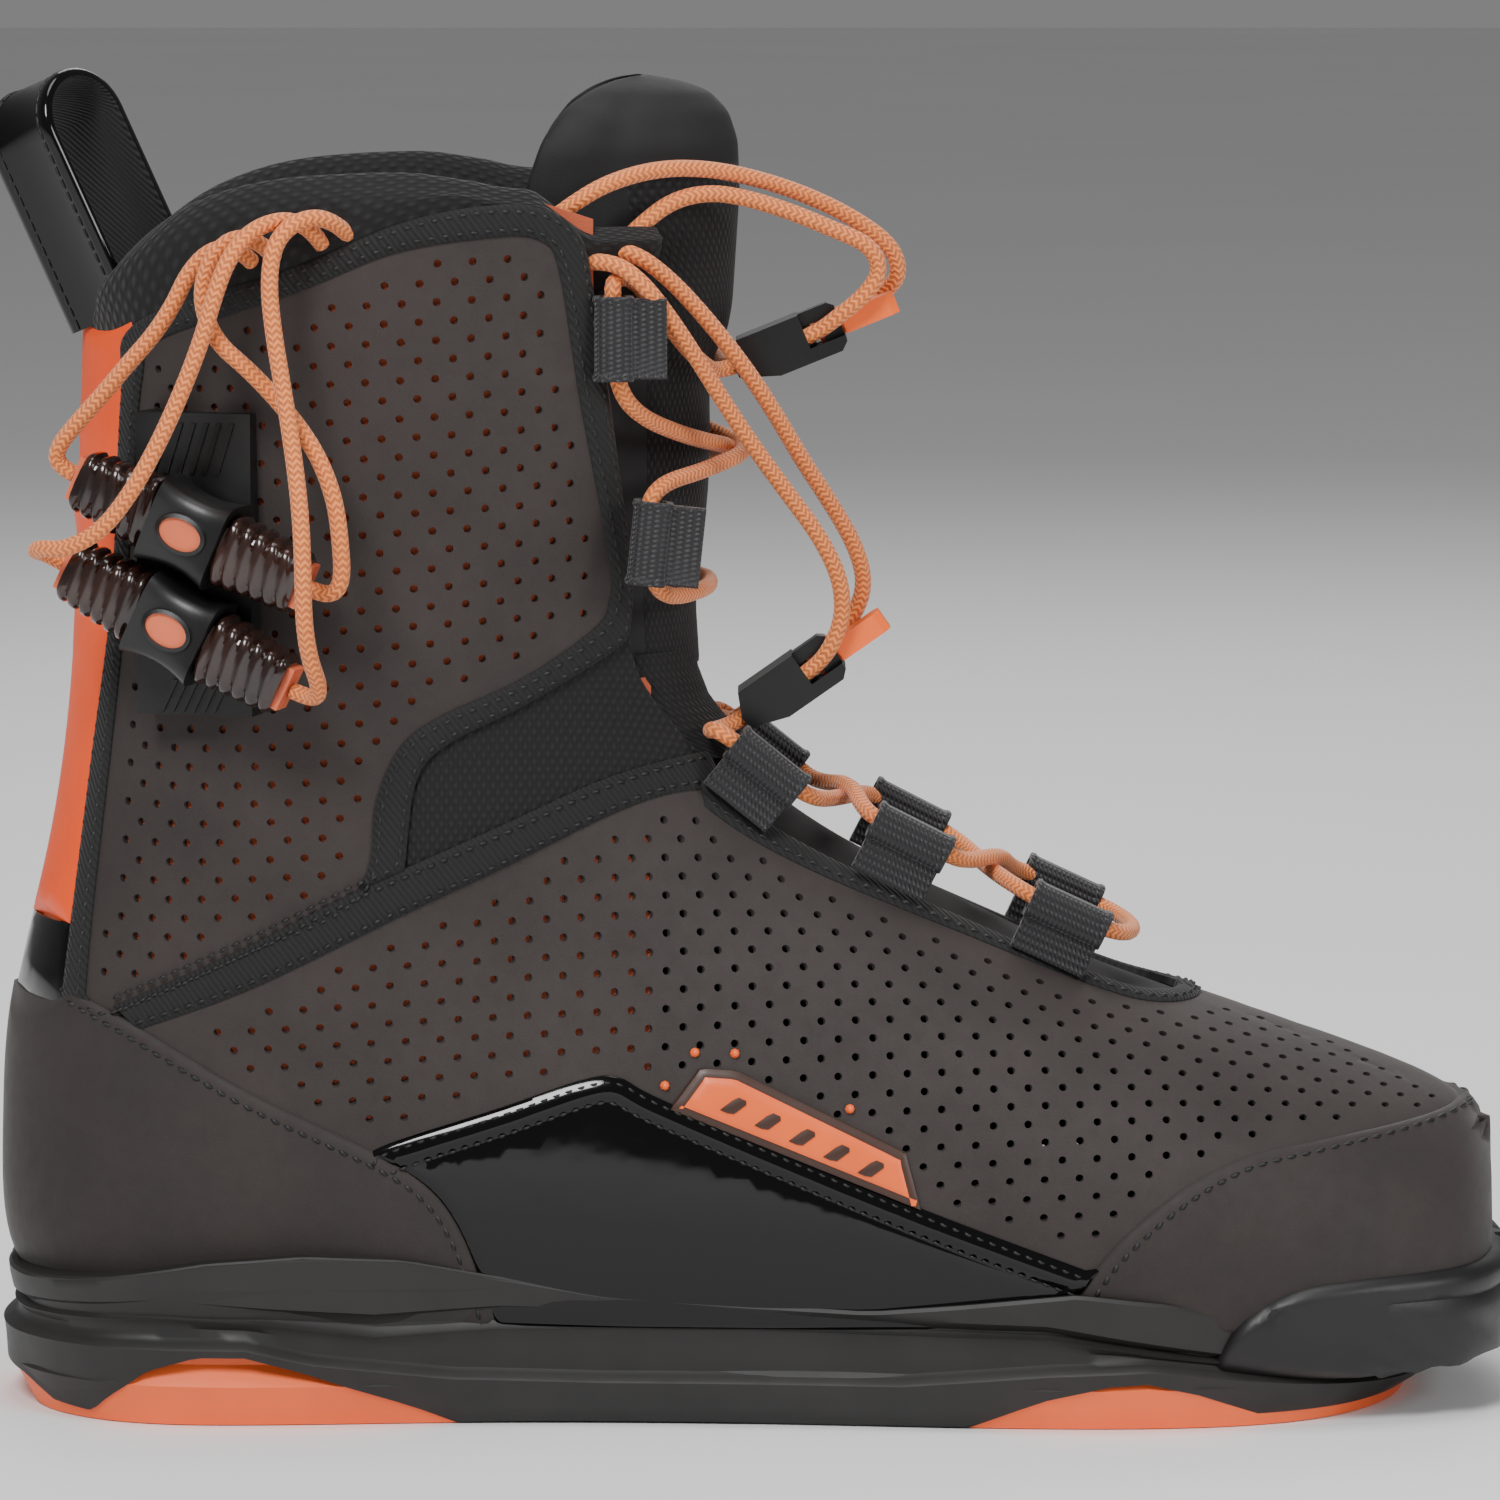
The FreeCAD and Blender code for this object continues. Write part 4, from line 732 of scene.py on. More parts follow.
HEEL_TOP = [
    (-137, 86), (-123, 79.5), (-99, 66.5), (-73.5, 54.5), (-63.5, 47.5), (-57.5, 38.5), (-53, 26),
    (-51, 19.5),
]
TOE_CAP_EDGE = [(63, 20), (66.5, 28.5), (73.5, 38), (85.5, 48), (99, 54.5), (115, 57), (129, 58.5),
                (150, 60.5)]
BUMPER_EDGE = [(93, 15), (99, 23), (109, 28.5), (121, 30.3), (135, 31), (149.5, 31.5)]
SIDE_PANEL_EDGE = [
    (-77, 53), (-73.5, 56.5), (-49.5, 64.5), (-33.5, 70), (-26, 70.5), (-16, 65.5), (30, 46.5), (67, 32.5),
]
BADGE = [(-16, 64.5), (-10, 72.5), (-3, 72), (28, 57.5), (31, 56), (34, 45)]
SEAM_LOWER = [(-123, 79), (-99, 88.5), (-69.5, 103), (-49.5, 112), (-30, 121), (-18, 125), (-8, 126)]
SEAM_UPPER = [(-128, 83.5), (-101, 96.5), (-78.5, 108), (-49.5, 120.5), (-30, 128.5), (-16, 132), (-8, 133)]
CUFF_PANEL = [
    (-134, 85), (-132, 106), (-126, 156), (-123, 190), (-121, 210), (-117, 218), (-89.5, 228), (-69.5, 236),
    (-49.5, 239), (-41, 238), (-37.5, 232), (-33.5, 206), (-28, 174), (-28, 165), (-31, 159.5), (-45.5, 150),
    (-61.5, 143), (-69.5, 137), (-74.5, 126), (-78.5, 108),
]
CUFF_OUTER = [
    (-139, 84), (-133, 130), (-128, 166), (-125.5, 206), (-122, 221), (-89.5, 233), (-69.5, 241.5),
    (-53.5, 245),
    (-41, 244.5), (-33.5, 239), (-31, 228), (-28, 206), (-24, 174), (-24, 160), (-27, 155), (-45.5, 144.5),
    (-60, 137.5), (-66.5, 130), (-69, 112),
]
CUFF_FOOT = [(-78.5, 108), (-101, 96.5), (-128, 83.5)]
THROAT_HALF, THROAT_BINDING, THROAT_FRONT = 15.0, 4.5, 88.0
SOLE_LINE = 19.6
LOWEST_HOLE = 24
HOLE_RADIUS = 0.85


def throat_line(half, front):
    """Flat edge of the lacing opening on the lateral side, from the ankle to its round front end."""
    bend = front - half
    xs = [-9, 0, 15, 30, 45, 60, bend]
    plan = [(x, swing(x) - half) for x in xs]
    plan += [(bend + half * math.sin(a), swing(bend) - half * math.cos(a))
             for a in np.linspace(0.3, math.pi / 2, 6)]
    return flat_of(locate(curved(plan), PLAN_TREE))


def until_ridge(line):
    """The part of a flat line up to the ridge, and the t where it gets there."""
    tv = locate(line, FLAT_TREE)
    stop = next((k for k in range(len(tv)) if tv[k, 1] > 7.9), len(tv) - 1)
    return line[:stop], tv[stop, 0]


def hole_grid(loop, margin=4.0):
    return lattice(turned_left(loop), (6.95, 0.4), (3.37, -3.6), margin, turned_left(loop))


def make_toe():
    edge, t_edge = until_ridge(side_line(TOE_CAP_EDGE))
    v_sole = locate([(149.5, SOLE_LINE)], SIDE_TREE)[0, 1]
    sole = side_line([(149, SOLE_LINE), (130, SOLE_LINE), (63, SOLE_LINE)], smooth=False)
    loop = closed(edge, along_t(8, t_edge, -1), along_v(-1, 8, v_sole), along_t(v_sole, -1, 0), sole)
    panel("toe_cap_shell", loop, "both", -0.9, 1.5, M["cap"], ["toe_cap"], roll=0.9)
    inner = offset(edge, -2.4, False)
    stitches("toe_cap_stitches", [inner], -1.0, "both", M["thread"])

    low = [(93, 12), (120, 11.5), (149.5, 13.5)]
    top, v_top = side_line(BUMPER_EDGE), locate([(149.5, 31.5)], SIDE_TREE)[0, 1]
    v_low = locate([(149.5, 14.2)], SIDE_TREE)[0, 1]
    bottom = side_line(low)
    loop = closed(top, along_t(v_top, 0, -1), along_v(-1, v_top, v_low), along_t(v_low, -1, 0), bottom[::-1])

    def grooves(flat, tv):
        z = flat[:, 1] - 20
        line = np.exp(-((z - 5.5 - 0.035 * (flat[:, 0] - 120)) / 0.8) ** 2)
        waves = (0.35 * np.sin((flat[:, 0] + 1.5 * z) / 1.7) * np.clip((4 - z) / 3, 0, 1)
                 * np.clip((flat[:, 0] - 118) / 10, 0, 1))
        return waves - 0.9 * line

    panel("toe_bumper_rubber", loop, "both", -3.0, -0.1, M["bumper"], ["toe_bumper"],
          roll=1.6, step=1.9,
          relief=grooves)


def make_heel():
    top = side_line(HEEL_TOP)
    rear = locate([(-152.2, 84.5), (-147, 20)], SIDE_TREE)
    sole = side_line([(-52, SOLE_LINE), (-100, SOLE_LINE), (-143, SOLE_LINE)], smooth=False)
    back = along_t(0, rear[1, 0], rear[0, 0])
    loop = closed(back, top, sole)
    panel("heel_counter_shell", loop, "both", -0.8, 1.5, M["cap"], ["heel_counter"], roll=0.9)
    stitches("heel_counter_stitches", [offset(top, -2.4, False)], -0.9, "both", M["thread"])

    edge = [(-139, 82), (-137.6, 99)]
    t_low, t_mid, t_top = (locate([p], SIDE_TREE)[0, 0] for p in ((-152, 82), (-147.5, 99), (-135.5, 222)))
    loop = closed(along_t(0, t_low, t_mid), side_line([(-147, 99), (-138, 99)]), side_line(edge)[::-1])
    panel("heel_spine_patent_sheet", loop, "both", 0.0, 1.5, M["patent"],
          ["heel_spine_patent"], roll=0.4)
    front = side_line([(-137.6, 99), (-133, 130), (-128, 166), (-125.5, 206), (-123, 221.5)])
    loop = closed(along_t(0, t_mid, t_top), front[::-1])

    def scallops(flat, tv):
        z = surface(tv[:, 0], tv[:, 1], 0.0)[:, 2]
        bulge = np.clip(1 - np.abs(z - 178) / 26, 0, 1)
        return bulge * (0.9 + 0.7 * np.sin(z / 2.6)) * np.clip(1 - tv[:, 1] / 1.6, 0, 1)

    panel("heel_spine_orange", loop, "both", -0.2, 1.5, M["strip"], ["heel_spine_strip"],
          roll=0.5, step=3,
          relief=scallops)


def make_side_panels():
    top = side_line(SIDE_PANEL_EDGE)
    toe = side_line(TOE_CAP_EDGE[:3])
    heel = side_line(HEEL_TOP[3:])
    sole = side_line([(64, SOLE_LINE), (0, SOLE_LINE), (-51, SOLE_LINE)], smooth=False)
    loop = closed(top, toe[::-1][len(toe) // 3:], sole, heel[::-1])
    for side in ("lateral", "medial"):
        def raised(flat, tv):
            near = distance(flat, top, False)
            return 0.5 * np.exp(-((near - 2.6) / 1.3) ** 2) - 0.3 * np.exp(-((near - 5.0) / 0.7) ** 2)

        panel(f"side_panel_{side}_patent", loop, side, -0.7, 1.5, M["patent"],
              [f"side_panel_{side}"],
              roll=0.6, step=3.2, relief=raised, rings=(2.9, 3.8, 4.4, 5.0, 5.6, 6.4))
        seams = [offset(top, -1.1, False), offset(top, -5.0, False)]
        stitches(f"side_panel_{side}_stitches", seams, -0.75, side, M["thread"], 2.6, 1.7,
                 0.35)


def make_vamp():
    seam = side_line(SEAM_LOWER)
    throat = throat_line(THROAT_HALF + THROAT_BINDING - 1.5, THROAT_FRONT + THROAT_BINDING - 1.5)
    t_front = locate(throat[-1:], FLAT_TREE)[0, 0]
    cap, t_cap = until_ridge(side_line(TOE_CAP_EDGE))
    cap = offset(cap, -1.5, False)
    lower = offset(side_line(SIDE_PANEL_EDGE), -1.5, False)
    heel = offset(side_line(HEEL_TOP[1:4]), -1.5, False)
    split = next(k for k, p in enumerate(cap) if p[0] > 66.5)
    loop = closed(offset(seam, 1.2, False), throat, along_t(8, t_front, t_cap), cap[split:][::-1],
                  lower[::-1], heel[::-1])
    holes = hole_grid(loop, 5.0)
    real = surface(*locate(holes, FLAT_TREE).T, 0.0)
    holes = holes[real[:, 2] > LOWEST_HOLE]
    holes = holes[~inside(holes, side_line(BADGE))]
    panel("vamp_perforated", loop, "both", 0.25, 1.5, M["vamp"], ["vamp_panel"], holes,
          HOLE_RADIUS, roll=0.3)


def make_cuff(side):
    outline = side_line(CUFF_PANEL + [(-101, 96.5), (-128, 83.5), (-134, 85)])
    loop = closed(outline)
    wide = offset(turned_left(loop), -1.2)
    holes = hole_grid(loop, 3.6)
    panel(f"cuff_{side}_perforated", wide, side, 0.25, 1.5, M["vamp"], [f"cuff_panel_{side}"],
          holes, HOLE_RADIUS,
          roll=0.3)
    outer = closed(side_line(CUFF_OUTER), side_line([CUFF_OUTER[-1], CUFF_FOOT[0]]), side_line(CUFF_FOOT))
    band(f"cuff_binding_{side}_twill", outer, turned_left(loop), side, [f"cuff_binding_{side}"])
    piping = [offset(turned_left(loop), -1.3), offset(turned_left(outer), 1.3)]
    stitches(f"cuff_binding_{side}_stitches", piping, -0.75, side, M["thread"], 2.8, 1.8,
             0.36)


def band(name, outer, inner, side, replaces):
    """Ring-shaped binding between two loops, padded in the middle."""
    outer, inner = turned_left(outer), turned_left(inner)
    points = [tuple(p) for p in outer] + [tuple(p) for p in inner]
    edges = [(k, (k + 1) % len(outer)) for k in range(len(outer))]
    edges += [(len(outer) + k, len(outer) + (k + 1) % len(inner)) for k in range(len(inner))]
    for loop, sign in ((outer, 1), (inner, -1)):
        for amount in (0.45, 1.1, 2.0):
            ring_points = offset(loop, sign * amount)
            near = np.minimum(distance(ring_points, outer), distance(ring_points, inner))
            points += [tuple(p) for p in ring_points[near > amount * 0.8]]
    verts, _, faces, _, _, _ = delaunay_2d_cdt([Vector(p) for p in points], edges, [], 0, 1e-4)
    verts = np.array([(v.x, v.y) for v in verts])
    faces = np.array([f for f in faces if len(f) == 3])
    middle = verts[faces].mean(1)
    faces = faces[inside(middle, outer) & ~inside(middle, inner)]
    return sheet_from(name, verts, faces, [outer, inner], side, replaces)


def sheet_from(name, flat, faces, loops, side, replaces, top=-0.8, bottom=1.5, material=None):
    """Closed sheet from ready triangles on one side of the boot."""
    edge = np.min([distance(flat, loop) for loop in loops], axis=0)
    tv = locate(flat, FLAT_TREE)
    v = tv[:, 1] if side == "lateral" else 16 - tv[:, 1]
    height = top + 0.7 * np.interp(edge, EDGE_AT, EDGE_SHARE)
    upper, lower = surface(tv[:, 0], v, height), surface(tv[:, 0], v, bottom)
    a, b, c = (upper[faces[:, k]] for k in range(3))
    if (np.cross(b - a, c - a) * outward(tv[faces[:, 0], 0], v[faces[:, 0]])).sum() < 0:
        faces = faces[:, ::-1]
    count = len(flat)
    seen = {(f[k], f[(k + 1) % 3]) for f in faces for k in range(3)}
    walls = [(p, p + count, q + count, q) for p, q in seen if (q, p) not in seen]
    every = [tuple(f) for f in faces] + [tuple(f[::-1] + count) for f in faces] + walls
    obj = new_object(name, np.vstack([upper, lower]), every, np.vstack([flat, flat]) * UV_PER_MM)
    return dress(obj, material or M["binding"], "boot", replaces)


def make_instep_binding():
    inner = throat_line(THROAT_HALF, THROAT_FRONT)
    outer = throat_line(THROAT_HALF + THROAT_BINDING, THROAT_FRONT + THROAT_BINDING)
    t_in, t_out = (locate(line[-1:], FLAT_TREE)[0, 0] for line in (inner, outer))
    lower, upper = side_line(SEAM_LOWER), side_line(SEAM_UPPER)
    stop = next((k for k, p in enumerate(lower) if distance(p[None], outer, False)[0] < 2.5), len(lower) - 1)
    start = int(np.argmin(np.linalg.norm(outer - lower[stop], axis=1)))
    head = next((k for k, p in enumerate(upper) if distance(p[None], inner, False)[0] < 1.0), len(upper) - 1)
    begin = int(np.argmin(np.linalg.norm(inner - upper[head], axis=1)))
    loop = closed(lower[:stop], outer[start:], along_t(8, t_out, t_in), inner[begin:][::-1],
                  upper[:head + 1][::-1])
    panel("instep_binding_twill", loop, "both", -0.7, 1.5, M["binding"], ["instep_binding"],
          roll=0.7,
          step=3)
    lines = [offset(lower[:stop], 1.3, False), offset(upper[:head], -1.3, False),
             offset(outer[start:], 1.2, False)]
    stitches("instep_binding_stitches", lines, -0.8, "both", M["thread"], 2.8, 1.8, 0.36)


def make_gusset(side):
    front = [(-24, 160), (-21, 148), (-11, 134.5), (-8, 133)]
    loop = closed(side_line([(-69, 111), (-66.5, 130), (-60, 137.5), (-45.5, 144.5), (-27, 155), (-24, 160)]),
                  side_line(front), side_line([(-8, 132), (-16, 131), (-30, 127.5), (-49.5, 119.5),
                                               (-78, 107), (-69, 111)]))
    panel(f"ankle_gusset_{side}_mesh", loop, side, 0.6, 1.6, M["knit"],
          [f"ankle_gusset_{side}"], roll=0.3)


def make_badge():
    loop = closed(side_line(BADGE, smooth=False), side_line([BADGE[-1], BADGE[0]]))
    inner = offset(turned_left(loop), 1.6)
    panel("badge_border", loop, "lateral", -1.2, 0.4, M["badge_mark"], [], roll=0.5, step=3)
    panel("badge_tag", inner, "lateral", -1.9, 0.0, M["badge"], ["badge_lateral"], roll=0.5,
          step=3)
    start, end = np.array([-7.0, 67.0]), np.array([27.5, 52.0])
    ahead = (end - start) / np.linalg.norm(end - start)
    up = np.array([-ahead[1], ahead[0]])
    for k in range(5):
        centre = start + (end - start) * (k + 0.5) / 5
        bar = [centre + ahead * a + up * b for a, b in ((-2.4, -1.8), (0.2, -1.8), (2.4, 1.8), (-0.2, 1.8))]
        line = side_line(bar + bar[:1], smooth=False)
        panel(f"badge_bar_{k + 1}", closed(line), "lateral", -2.25, -1.5, M["badge_mark"],
              [], roll=0.15,
              step=2)
    nubs = [(-17, 69), (-11, 75.5), (-3, 75.3), (20, 64.5), (-20, 65)]
    points, faces = [], []
    for t, v in locate(nubs, SIDE_TREE):
        base, n = surface(t, v, 0.0)[0], outward(t, v)[0]
        along = np.cross(n, (0, 0, 1.0))
        along /= np.linalg.norm(along)
        across = np.cross(n, along)
        start_at = len(points)
        for r in range(4):
            angle = math.pi / 2 * r / 3
            for s in range(8):
                turn = 2 * math.pi * s / 8
                points.append(base + n * (1.2 * math.sin(angle) - 0.2)
                              + (along * math.cos(turn) + across * math.sin(turn)) * 1.0 * max(math.cos(angle), 0.05))
        for r in range(3):
            for s in range(8):
                a, b = start_at + r * 8 + s, start_at + r * 8 + (s + 1) % 8
                faces.append((a, b, b + 8, a + 8))
        faces += [tuple(start_at + s for s in range(8))[::-1], tuple(start_at + 24 + s for s in range(8))]
    dress(new_object("badge_nubs", points, faces), M["badge"])


# ---------------------------------------------------------------- collar, tongue and pull loop

COLLAR_SEAM = [(-170, 222), (-122, 222), (-89.5, 234), (-69.5, 242.5), (-53.5, 246), (-41, 245.5), (-31, 238)]
COLLAR_RIM = [
    (-170, 222), (-134.5, 224), (-130, 231), (-122.5, 238.5), (-112, 245), (-96, 249.5), (-71.5, 251),
    (-59, 250),
    (-47, 247.5), (-36, 241), (-31, 236),
]


def grid_faces(rows, columns, wrap_rows=False, wrap_columns=False):
    faces = []
    for i in range(rows if wrap_rows else rows - 1):
        for j in range(columns if wrap_columns else columns - 1):
            a, b = i * columns + j, i * columns + (j + 1) % columns
            c, d = ((i + 1) % rows) * columns + (j + 1) % columns, ((i + 1) % rows) * columns + j
            faces.append((a, b, c, d))
    return faces


def slab_faces(rows, columns):
    """Faces of two equal grids of points, one behind the other, closed all round their edge."""
    count = rows * columns
    top = grid_faces(rows, columns)
    edge = list(range(columns)) + [r * columns + columns - 1 for r in range(1, rows)]
    edge += [(rows - 1) * columns + k for k in range(columns - 2, -1, -1)]
    edge += [r * columns for r in range(rows - 2, 0, -1)]
    faces = [f[::-1] for f in top] + [tuple(v + count for v in f) for f in top]
    return faces + [(a, b, b + count, a + count) for a, b in zip(edge, edge[1:] + edge[:1])]


def make_collar():
    """Padded topline: a soft roll swept round the shaft from one front edge to the other."""
    seam, rim = np.array(COLLAR_SEAM), curved(COLLAR_RIM, 2)
    turns = np.concatenate([-np.linspace(6.35, 0, 60), np.linspace(0, 6.35, 60)[1:]])
    t_scan = np.linspace(14, T_END - 0.01, 160)
    rows, uv = [], []
    section = 18
    for turn in turns:
        v = abs(turn) if turn < 0 else 16 - turn
        line = surface(t_scan, v, 0.0)
        t_seam = np.interp(0, line[:, 2] - np.interp(line[:, 0], seam[:, 0], seam[:, 1]), t_scan)
        t_rim = np.interp(0, line[:, 2] - np.interp(line[:, 0], rim[:, 0], rim[:, 1]), t_scan)
        t_rim = max(t_rim, t_seam + 0.06)
        end = min(1.0, (6.35 - abs(turn)) / 0.35)
        full = math.sqrt(max(0.0, 1 - (1 - end) ** 2))
        puff = 1.5 * min(1.0, (t_rim - t_seam) / 0.25)
        around = [(t_seam - 0.12, 0.8), (t_seam, 0.1), (t_seam + 0.3 * (t_rim - t_seam), -puff),
                  (t_seam + 0.65 * (t_rim - t_seam), -puff), (t_rim - 0.08, 0.2), (t_rim, 2.8),
                  (t_rim + 0.02, 5.0),
                  (t_rim - 0.04, 7.4), (t_rim - 0.16, 9.2), (t_seam - 0.25, 9.6), (t_seam - 0.55, 8.8),
                  (t_seam - 0.6, 6.0),
                  (t_seam - 0.4, 4.5)]
        around = curved([(a * 10, b) for a, b in around], 0.6)
        around = resample(around, np.linalg.norm(np.diff(around, axis=0), axis=1).sum() / (section - 1))
        around = around[:section] if len(around) >= section else np.vstack([around, around[-1:]])
        t, depth = around[:, 0] / 10, 4.8 + (around[:, 1] - 4.8) * full
        rows.append(surface(t, np.full(len(t), v), depth))
        uv += [(turn * 0.12, k * 0.035) for k in range(section)]
    points = np.vstack(rows)
    faces = grid_faces(len(turns), section, wrap_columns=True)
    faces += [tuple(range(section))[::-1], tuple(len(points) - section + k for k in range(section))]
    obj = new_object("collar_padded", points, faces, np.array(uv), sharp=60)
    smooth = obj.modifiers.new("round", "SUBSURF")
    smooth.levels = smooth.render_levels = 1
    return dress(obj, M["knit"], "boot", ["collar"])


TONGUE_FRONT = [
    (149, -10.2), (162, -11), (174, -9.5), (186, -8.4), (198, -8.1), (206, -8.2), (213, -7), (217, -4.6),
    (223, -3.5), (246, -2), (256, -2.4), (262, -4.4), (266, -8.5), (268.2, -15), (269, -21),
]
TONGUE_REAR = [
    (149, -32), (225, -34), (238, -42), (247, -45), (257, -41.5), (263, -37), (266.5, -32), (268.4, -27),
    (269, -23),
]


def tongue_row(z):
    """Front edge, length, half width, sweep and thickness of the padded tongue at one height."""
    front = np.interp(z, [a for a, _ in TONGUE_FRONT], [b for _, b in TONGUE_FRONT])
    rear = np.interp(z, [a for a, _ in TONGUE_REAR], [b for _, b in TONGUE_REAR])
    sweep = math.radians(np.interp(z, [149, 175, 225, 245], [50, 56, 60, 88]))
    half = np.interp(z, [149, 240, 255, 262, 266.5, 269], [22, 25, 25, 21.5, 15, 6]) / math.sin(sweep)
    length = (front - rear) / (1 - math.cos(sweep))
    thick = np.interp(z, [149, 160, 235, 252, 265, 269], [6, 9, 10, 13, 9, 1.2])
    return front, length, half, sweep, min(thick, 0.8 * length)


def make_tongue():
    """Padded tongue: knitted face framed by a smooth roll along its edge."""
    levels = np.concatenate([np.linspace(149, 250, 52),
                             250 + 19 * np.sin(np.linspace(0.08, math.pi / 2, 14))])
    columns = 33
    outer, inner, uv = [], [], []
    for z in levels:
        front, length, half, sweep, thick = tongue_row(z)
        for k in range(columns):
            f = -1 + 2 * k / (columns - 1)
            angle = sweep * f
            roll = math.exp(-((abs(f) - 0.9) / 0.1) ** 2)
            groove = math.exp(-((abs(f) - 0.76) / 0.035) ** 2)
            out = (0.9 * roll - 1.1 * groove) * min(1.0, (269.5 - z) / 12)
            edge = math.sqrt(max(0.0, 1 - f ** 12))
            body = thick * (0.35 + 0.65 * edge)
            cx = front - length
            outer.append((cx + (length + out) * math.cos(angle), (half + out) * math.sin(angle), z))
            inner.append((cx + (length - body) * math.cos(angle), (half - 0.7 * body) * math.sin(angle), z))
            uv.append((f * half * 0.018, z * 0.01))
    count = len(levels) * columns
    faces = slab_faces(len(levels), columns)
    obj = new_object("tongue_padded", np.vstack([outer, inner]), faces, np.array(uv + uv), sharp=70)
    obj.data.materials.append(M["knit"])
    bpy.context.view_layer.update()
    dress(obj, [M["knit"], M["neoprene"]], "tongue", ["tongue"])
    for polygon in obj.data.polygons:
        corner = polygon.vertices[0] % count
        f = abs(-1 + 2 * (corner % columns) / (columns - 1))
        z = levels[corner // columns]
        plain = f > 0.74 or f < 0.1 or z > 252
        polygon.material_index = 1 if plain else 0
    smooth = obj.modifiers.new("round", "SUBSURF")
    smooth.levels = smooth.render_levels = 1
    return obj


def make_tongue_foot():
    """Soft knit that carries the tongue down into the lacing opening."""
    rows, columns = 12, 25
    outer, inner, uv = [], [], []
    for z in np.linspace(131.5, 153, rows):
        front = np.interp(z, [131.5, 134, 138, 143, 149, 153], [5, 0.5, -4.5, -8.3, -10.6, -11.2])
        half, length = np.interp(z, [131.5, 149, 153], [14.5, 20.5, 21]), 24.0
        for k in range(columns):
            angle = math.radians(75) * (-1 + 2 * k / (columns - 1))
            for inset, store in ((0.0, outer), (3.0, inner)):
                store.append((front - length + (length - inset) * math.cos(angle),
                              (half - inset) * math.sin(angle), z))
            uv.append((k * half * 0.0015, z * 0.01))
    faces = slab_faces(rows, columns)
    obj = new_object("tongue_foot_knit", np.vstack([outer, inner]), faces, np.array(uv + uv), sharp=60)
    dress(obj, M["knit"], None)
    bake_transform(obj)


LOOP_PLACE = (Matrix.Translation((-139.5, -5.5, 257.5)) @ Matrix.Rotation(math.radians(-24), 4, "Y")
              @ Matrix.Rotation(math.radians(50), 4, "Z"))


def make_pull_loop():
    """Folded patent strap with a rolled, stitched edge."""
    bend, thick, half = 11.0, 2.2, 9.5
    path = [(-bend, z) for z in np.linspace(-38, 0, 14)]
    path += [(-bend * math.cos(a), bend * math.sin(a)) for a in np.linspace(0, math.pi, 22)[1:-1]]
    path += [(bend, z) for z in np.linspace(0, -38, 14)]
    path = np.array(path)
    tangent = np.gradient(path, axis=0)
    tangent /= np.linalg.norm(tangent, axis=1)[:, None]
    normal = np.stack([-tangent[:, 1], tangent[:, 0]], 1)
    profile = [(-half, 0.6), (-half + 0.5, 0.05), (-half + 2.0, -0.25), (-half + 2.9, 0.15), (0, 0),
               (half - 2.9, 0.15),
               (half - 2.0, -0.25), (half - 0.5, 0.05), (half, 0.6), (half, thick - 0.5), (half - 0.6, thick),
               (0, thick),
               (-half + 0.6, thick), (-half, thick - 0.5)]
    points, uv = [], []
    for k, (p, n) in enumerate(zip(path, normal)):
        for y, d in profile:
            local = Vector((p[0] - n[0] * d, y, p[1] - n[1] * d))
            points.append(tuple(LOOP_PLACE @ local))
            uv.append((y * 0.01, k * 0.025))
    rows, columns = len(path), len(profile)
    faces = grid_faces(rows, columns, wrap_columns=True)
    faces += [tuple(range(columns))[::-1], tuple((rows - 1) * columns + k for k in range(columns))]
    obj = new_object("pull_loop_strap", points, faces, np.array(uv), sharp=50)
    dress(obj, [M["patent"], M["binding"]], "boot", ["pull_loop"])
    for polygon in obj.data.polygons:
        inside_face = all(v % columns in (9, 10, 11, 12, 13) for v in polygon.vertices)
        polygon.material_index = 1 if inside_face else 0
    row_points, row_faces = [], []
    for y in (-half + 2.9, half - 2.9):
        dense = resample(path, 2.7)
        for p, q in zip(dense[:-1], dense[1:]):
            axis = (q - p) / np.linalg.norm(q - p)
            out = np.array([-axis[1], axis[0]])
            base = len(row_points)
            for f in (0.12, 0.35, 0.65, 0.88):
                swell = 0.4 * math.sin(math.pi * f) ** 0.5
                centre = p + (q - p) * f
                for s in range(6):
                    angle = 2 * math.pi * s / 6
                    flat_at = centre + out * math.sin(angle) * swell
                    row_points.append(tuple(LOOP_PLACE @ Vector((flat_at[0], y + math.cos(angle) * swell,
                            flat_at[1]))))
            for r in range(3):
                for s in range(6):
                    a, b = base + r * 6 + s, base + r * 6 + (s + 1) % 6
                    row_faces.append((a, b, b + 6, a + 6))
            row_faces += [tuple(base + s for s in range(6))[::-1], tuple(base + 18 + s for s in range(6))]
    dress(new_object("pull_loop_stitches", row_points, row_faces, sharp=60), M["thread"])


# ---------------------------------------------------------------- laces

LACE = 3.4
UPPER_ENTRY = {
    "lateral": [(0.7, -8.6, 212.1), (-6.2, -8.6, 209.3), (-9.5, -16.5, 211.5), (-14.5, -24, 217.5),
                (-19.5, -30, 225.5), (-24, -35.5, 230.5), (-27.2, -40.3, 230)],
    "medial": [(0.7, -1.4, 212.1), (-5.6, -1.4, 209.5), (-5.6, 8, 211), (-9.5, 17.5, 213.5),
               (-14.5, 25, 218.5),
               (-19.5, 30.5, 226), (-24, 35.5, 230.5), (-27.2, 40.3, 230)],
}
UPPER_LACING = [
    (-27, 41, 226), (-27, 41, 211), (-23, 36, 203), (-12, 19, 197), (-2.4, 0, 193.5), (-9, -19, 190.5),
    (-18, -33, 189), (-20.8, -36.5, 184), (-20.2, -36.5, 171), (-16.5, -30, 165.5), (-9, -14, 166),
    (-8.0, 0, 166),
]
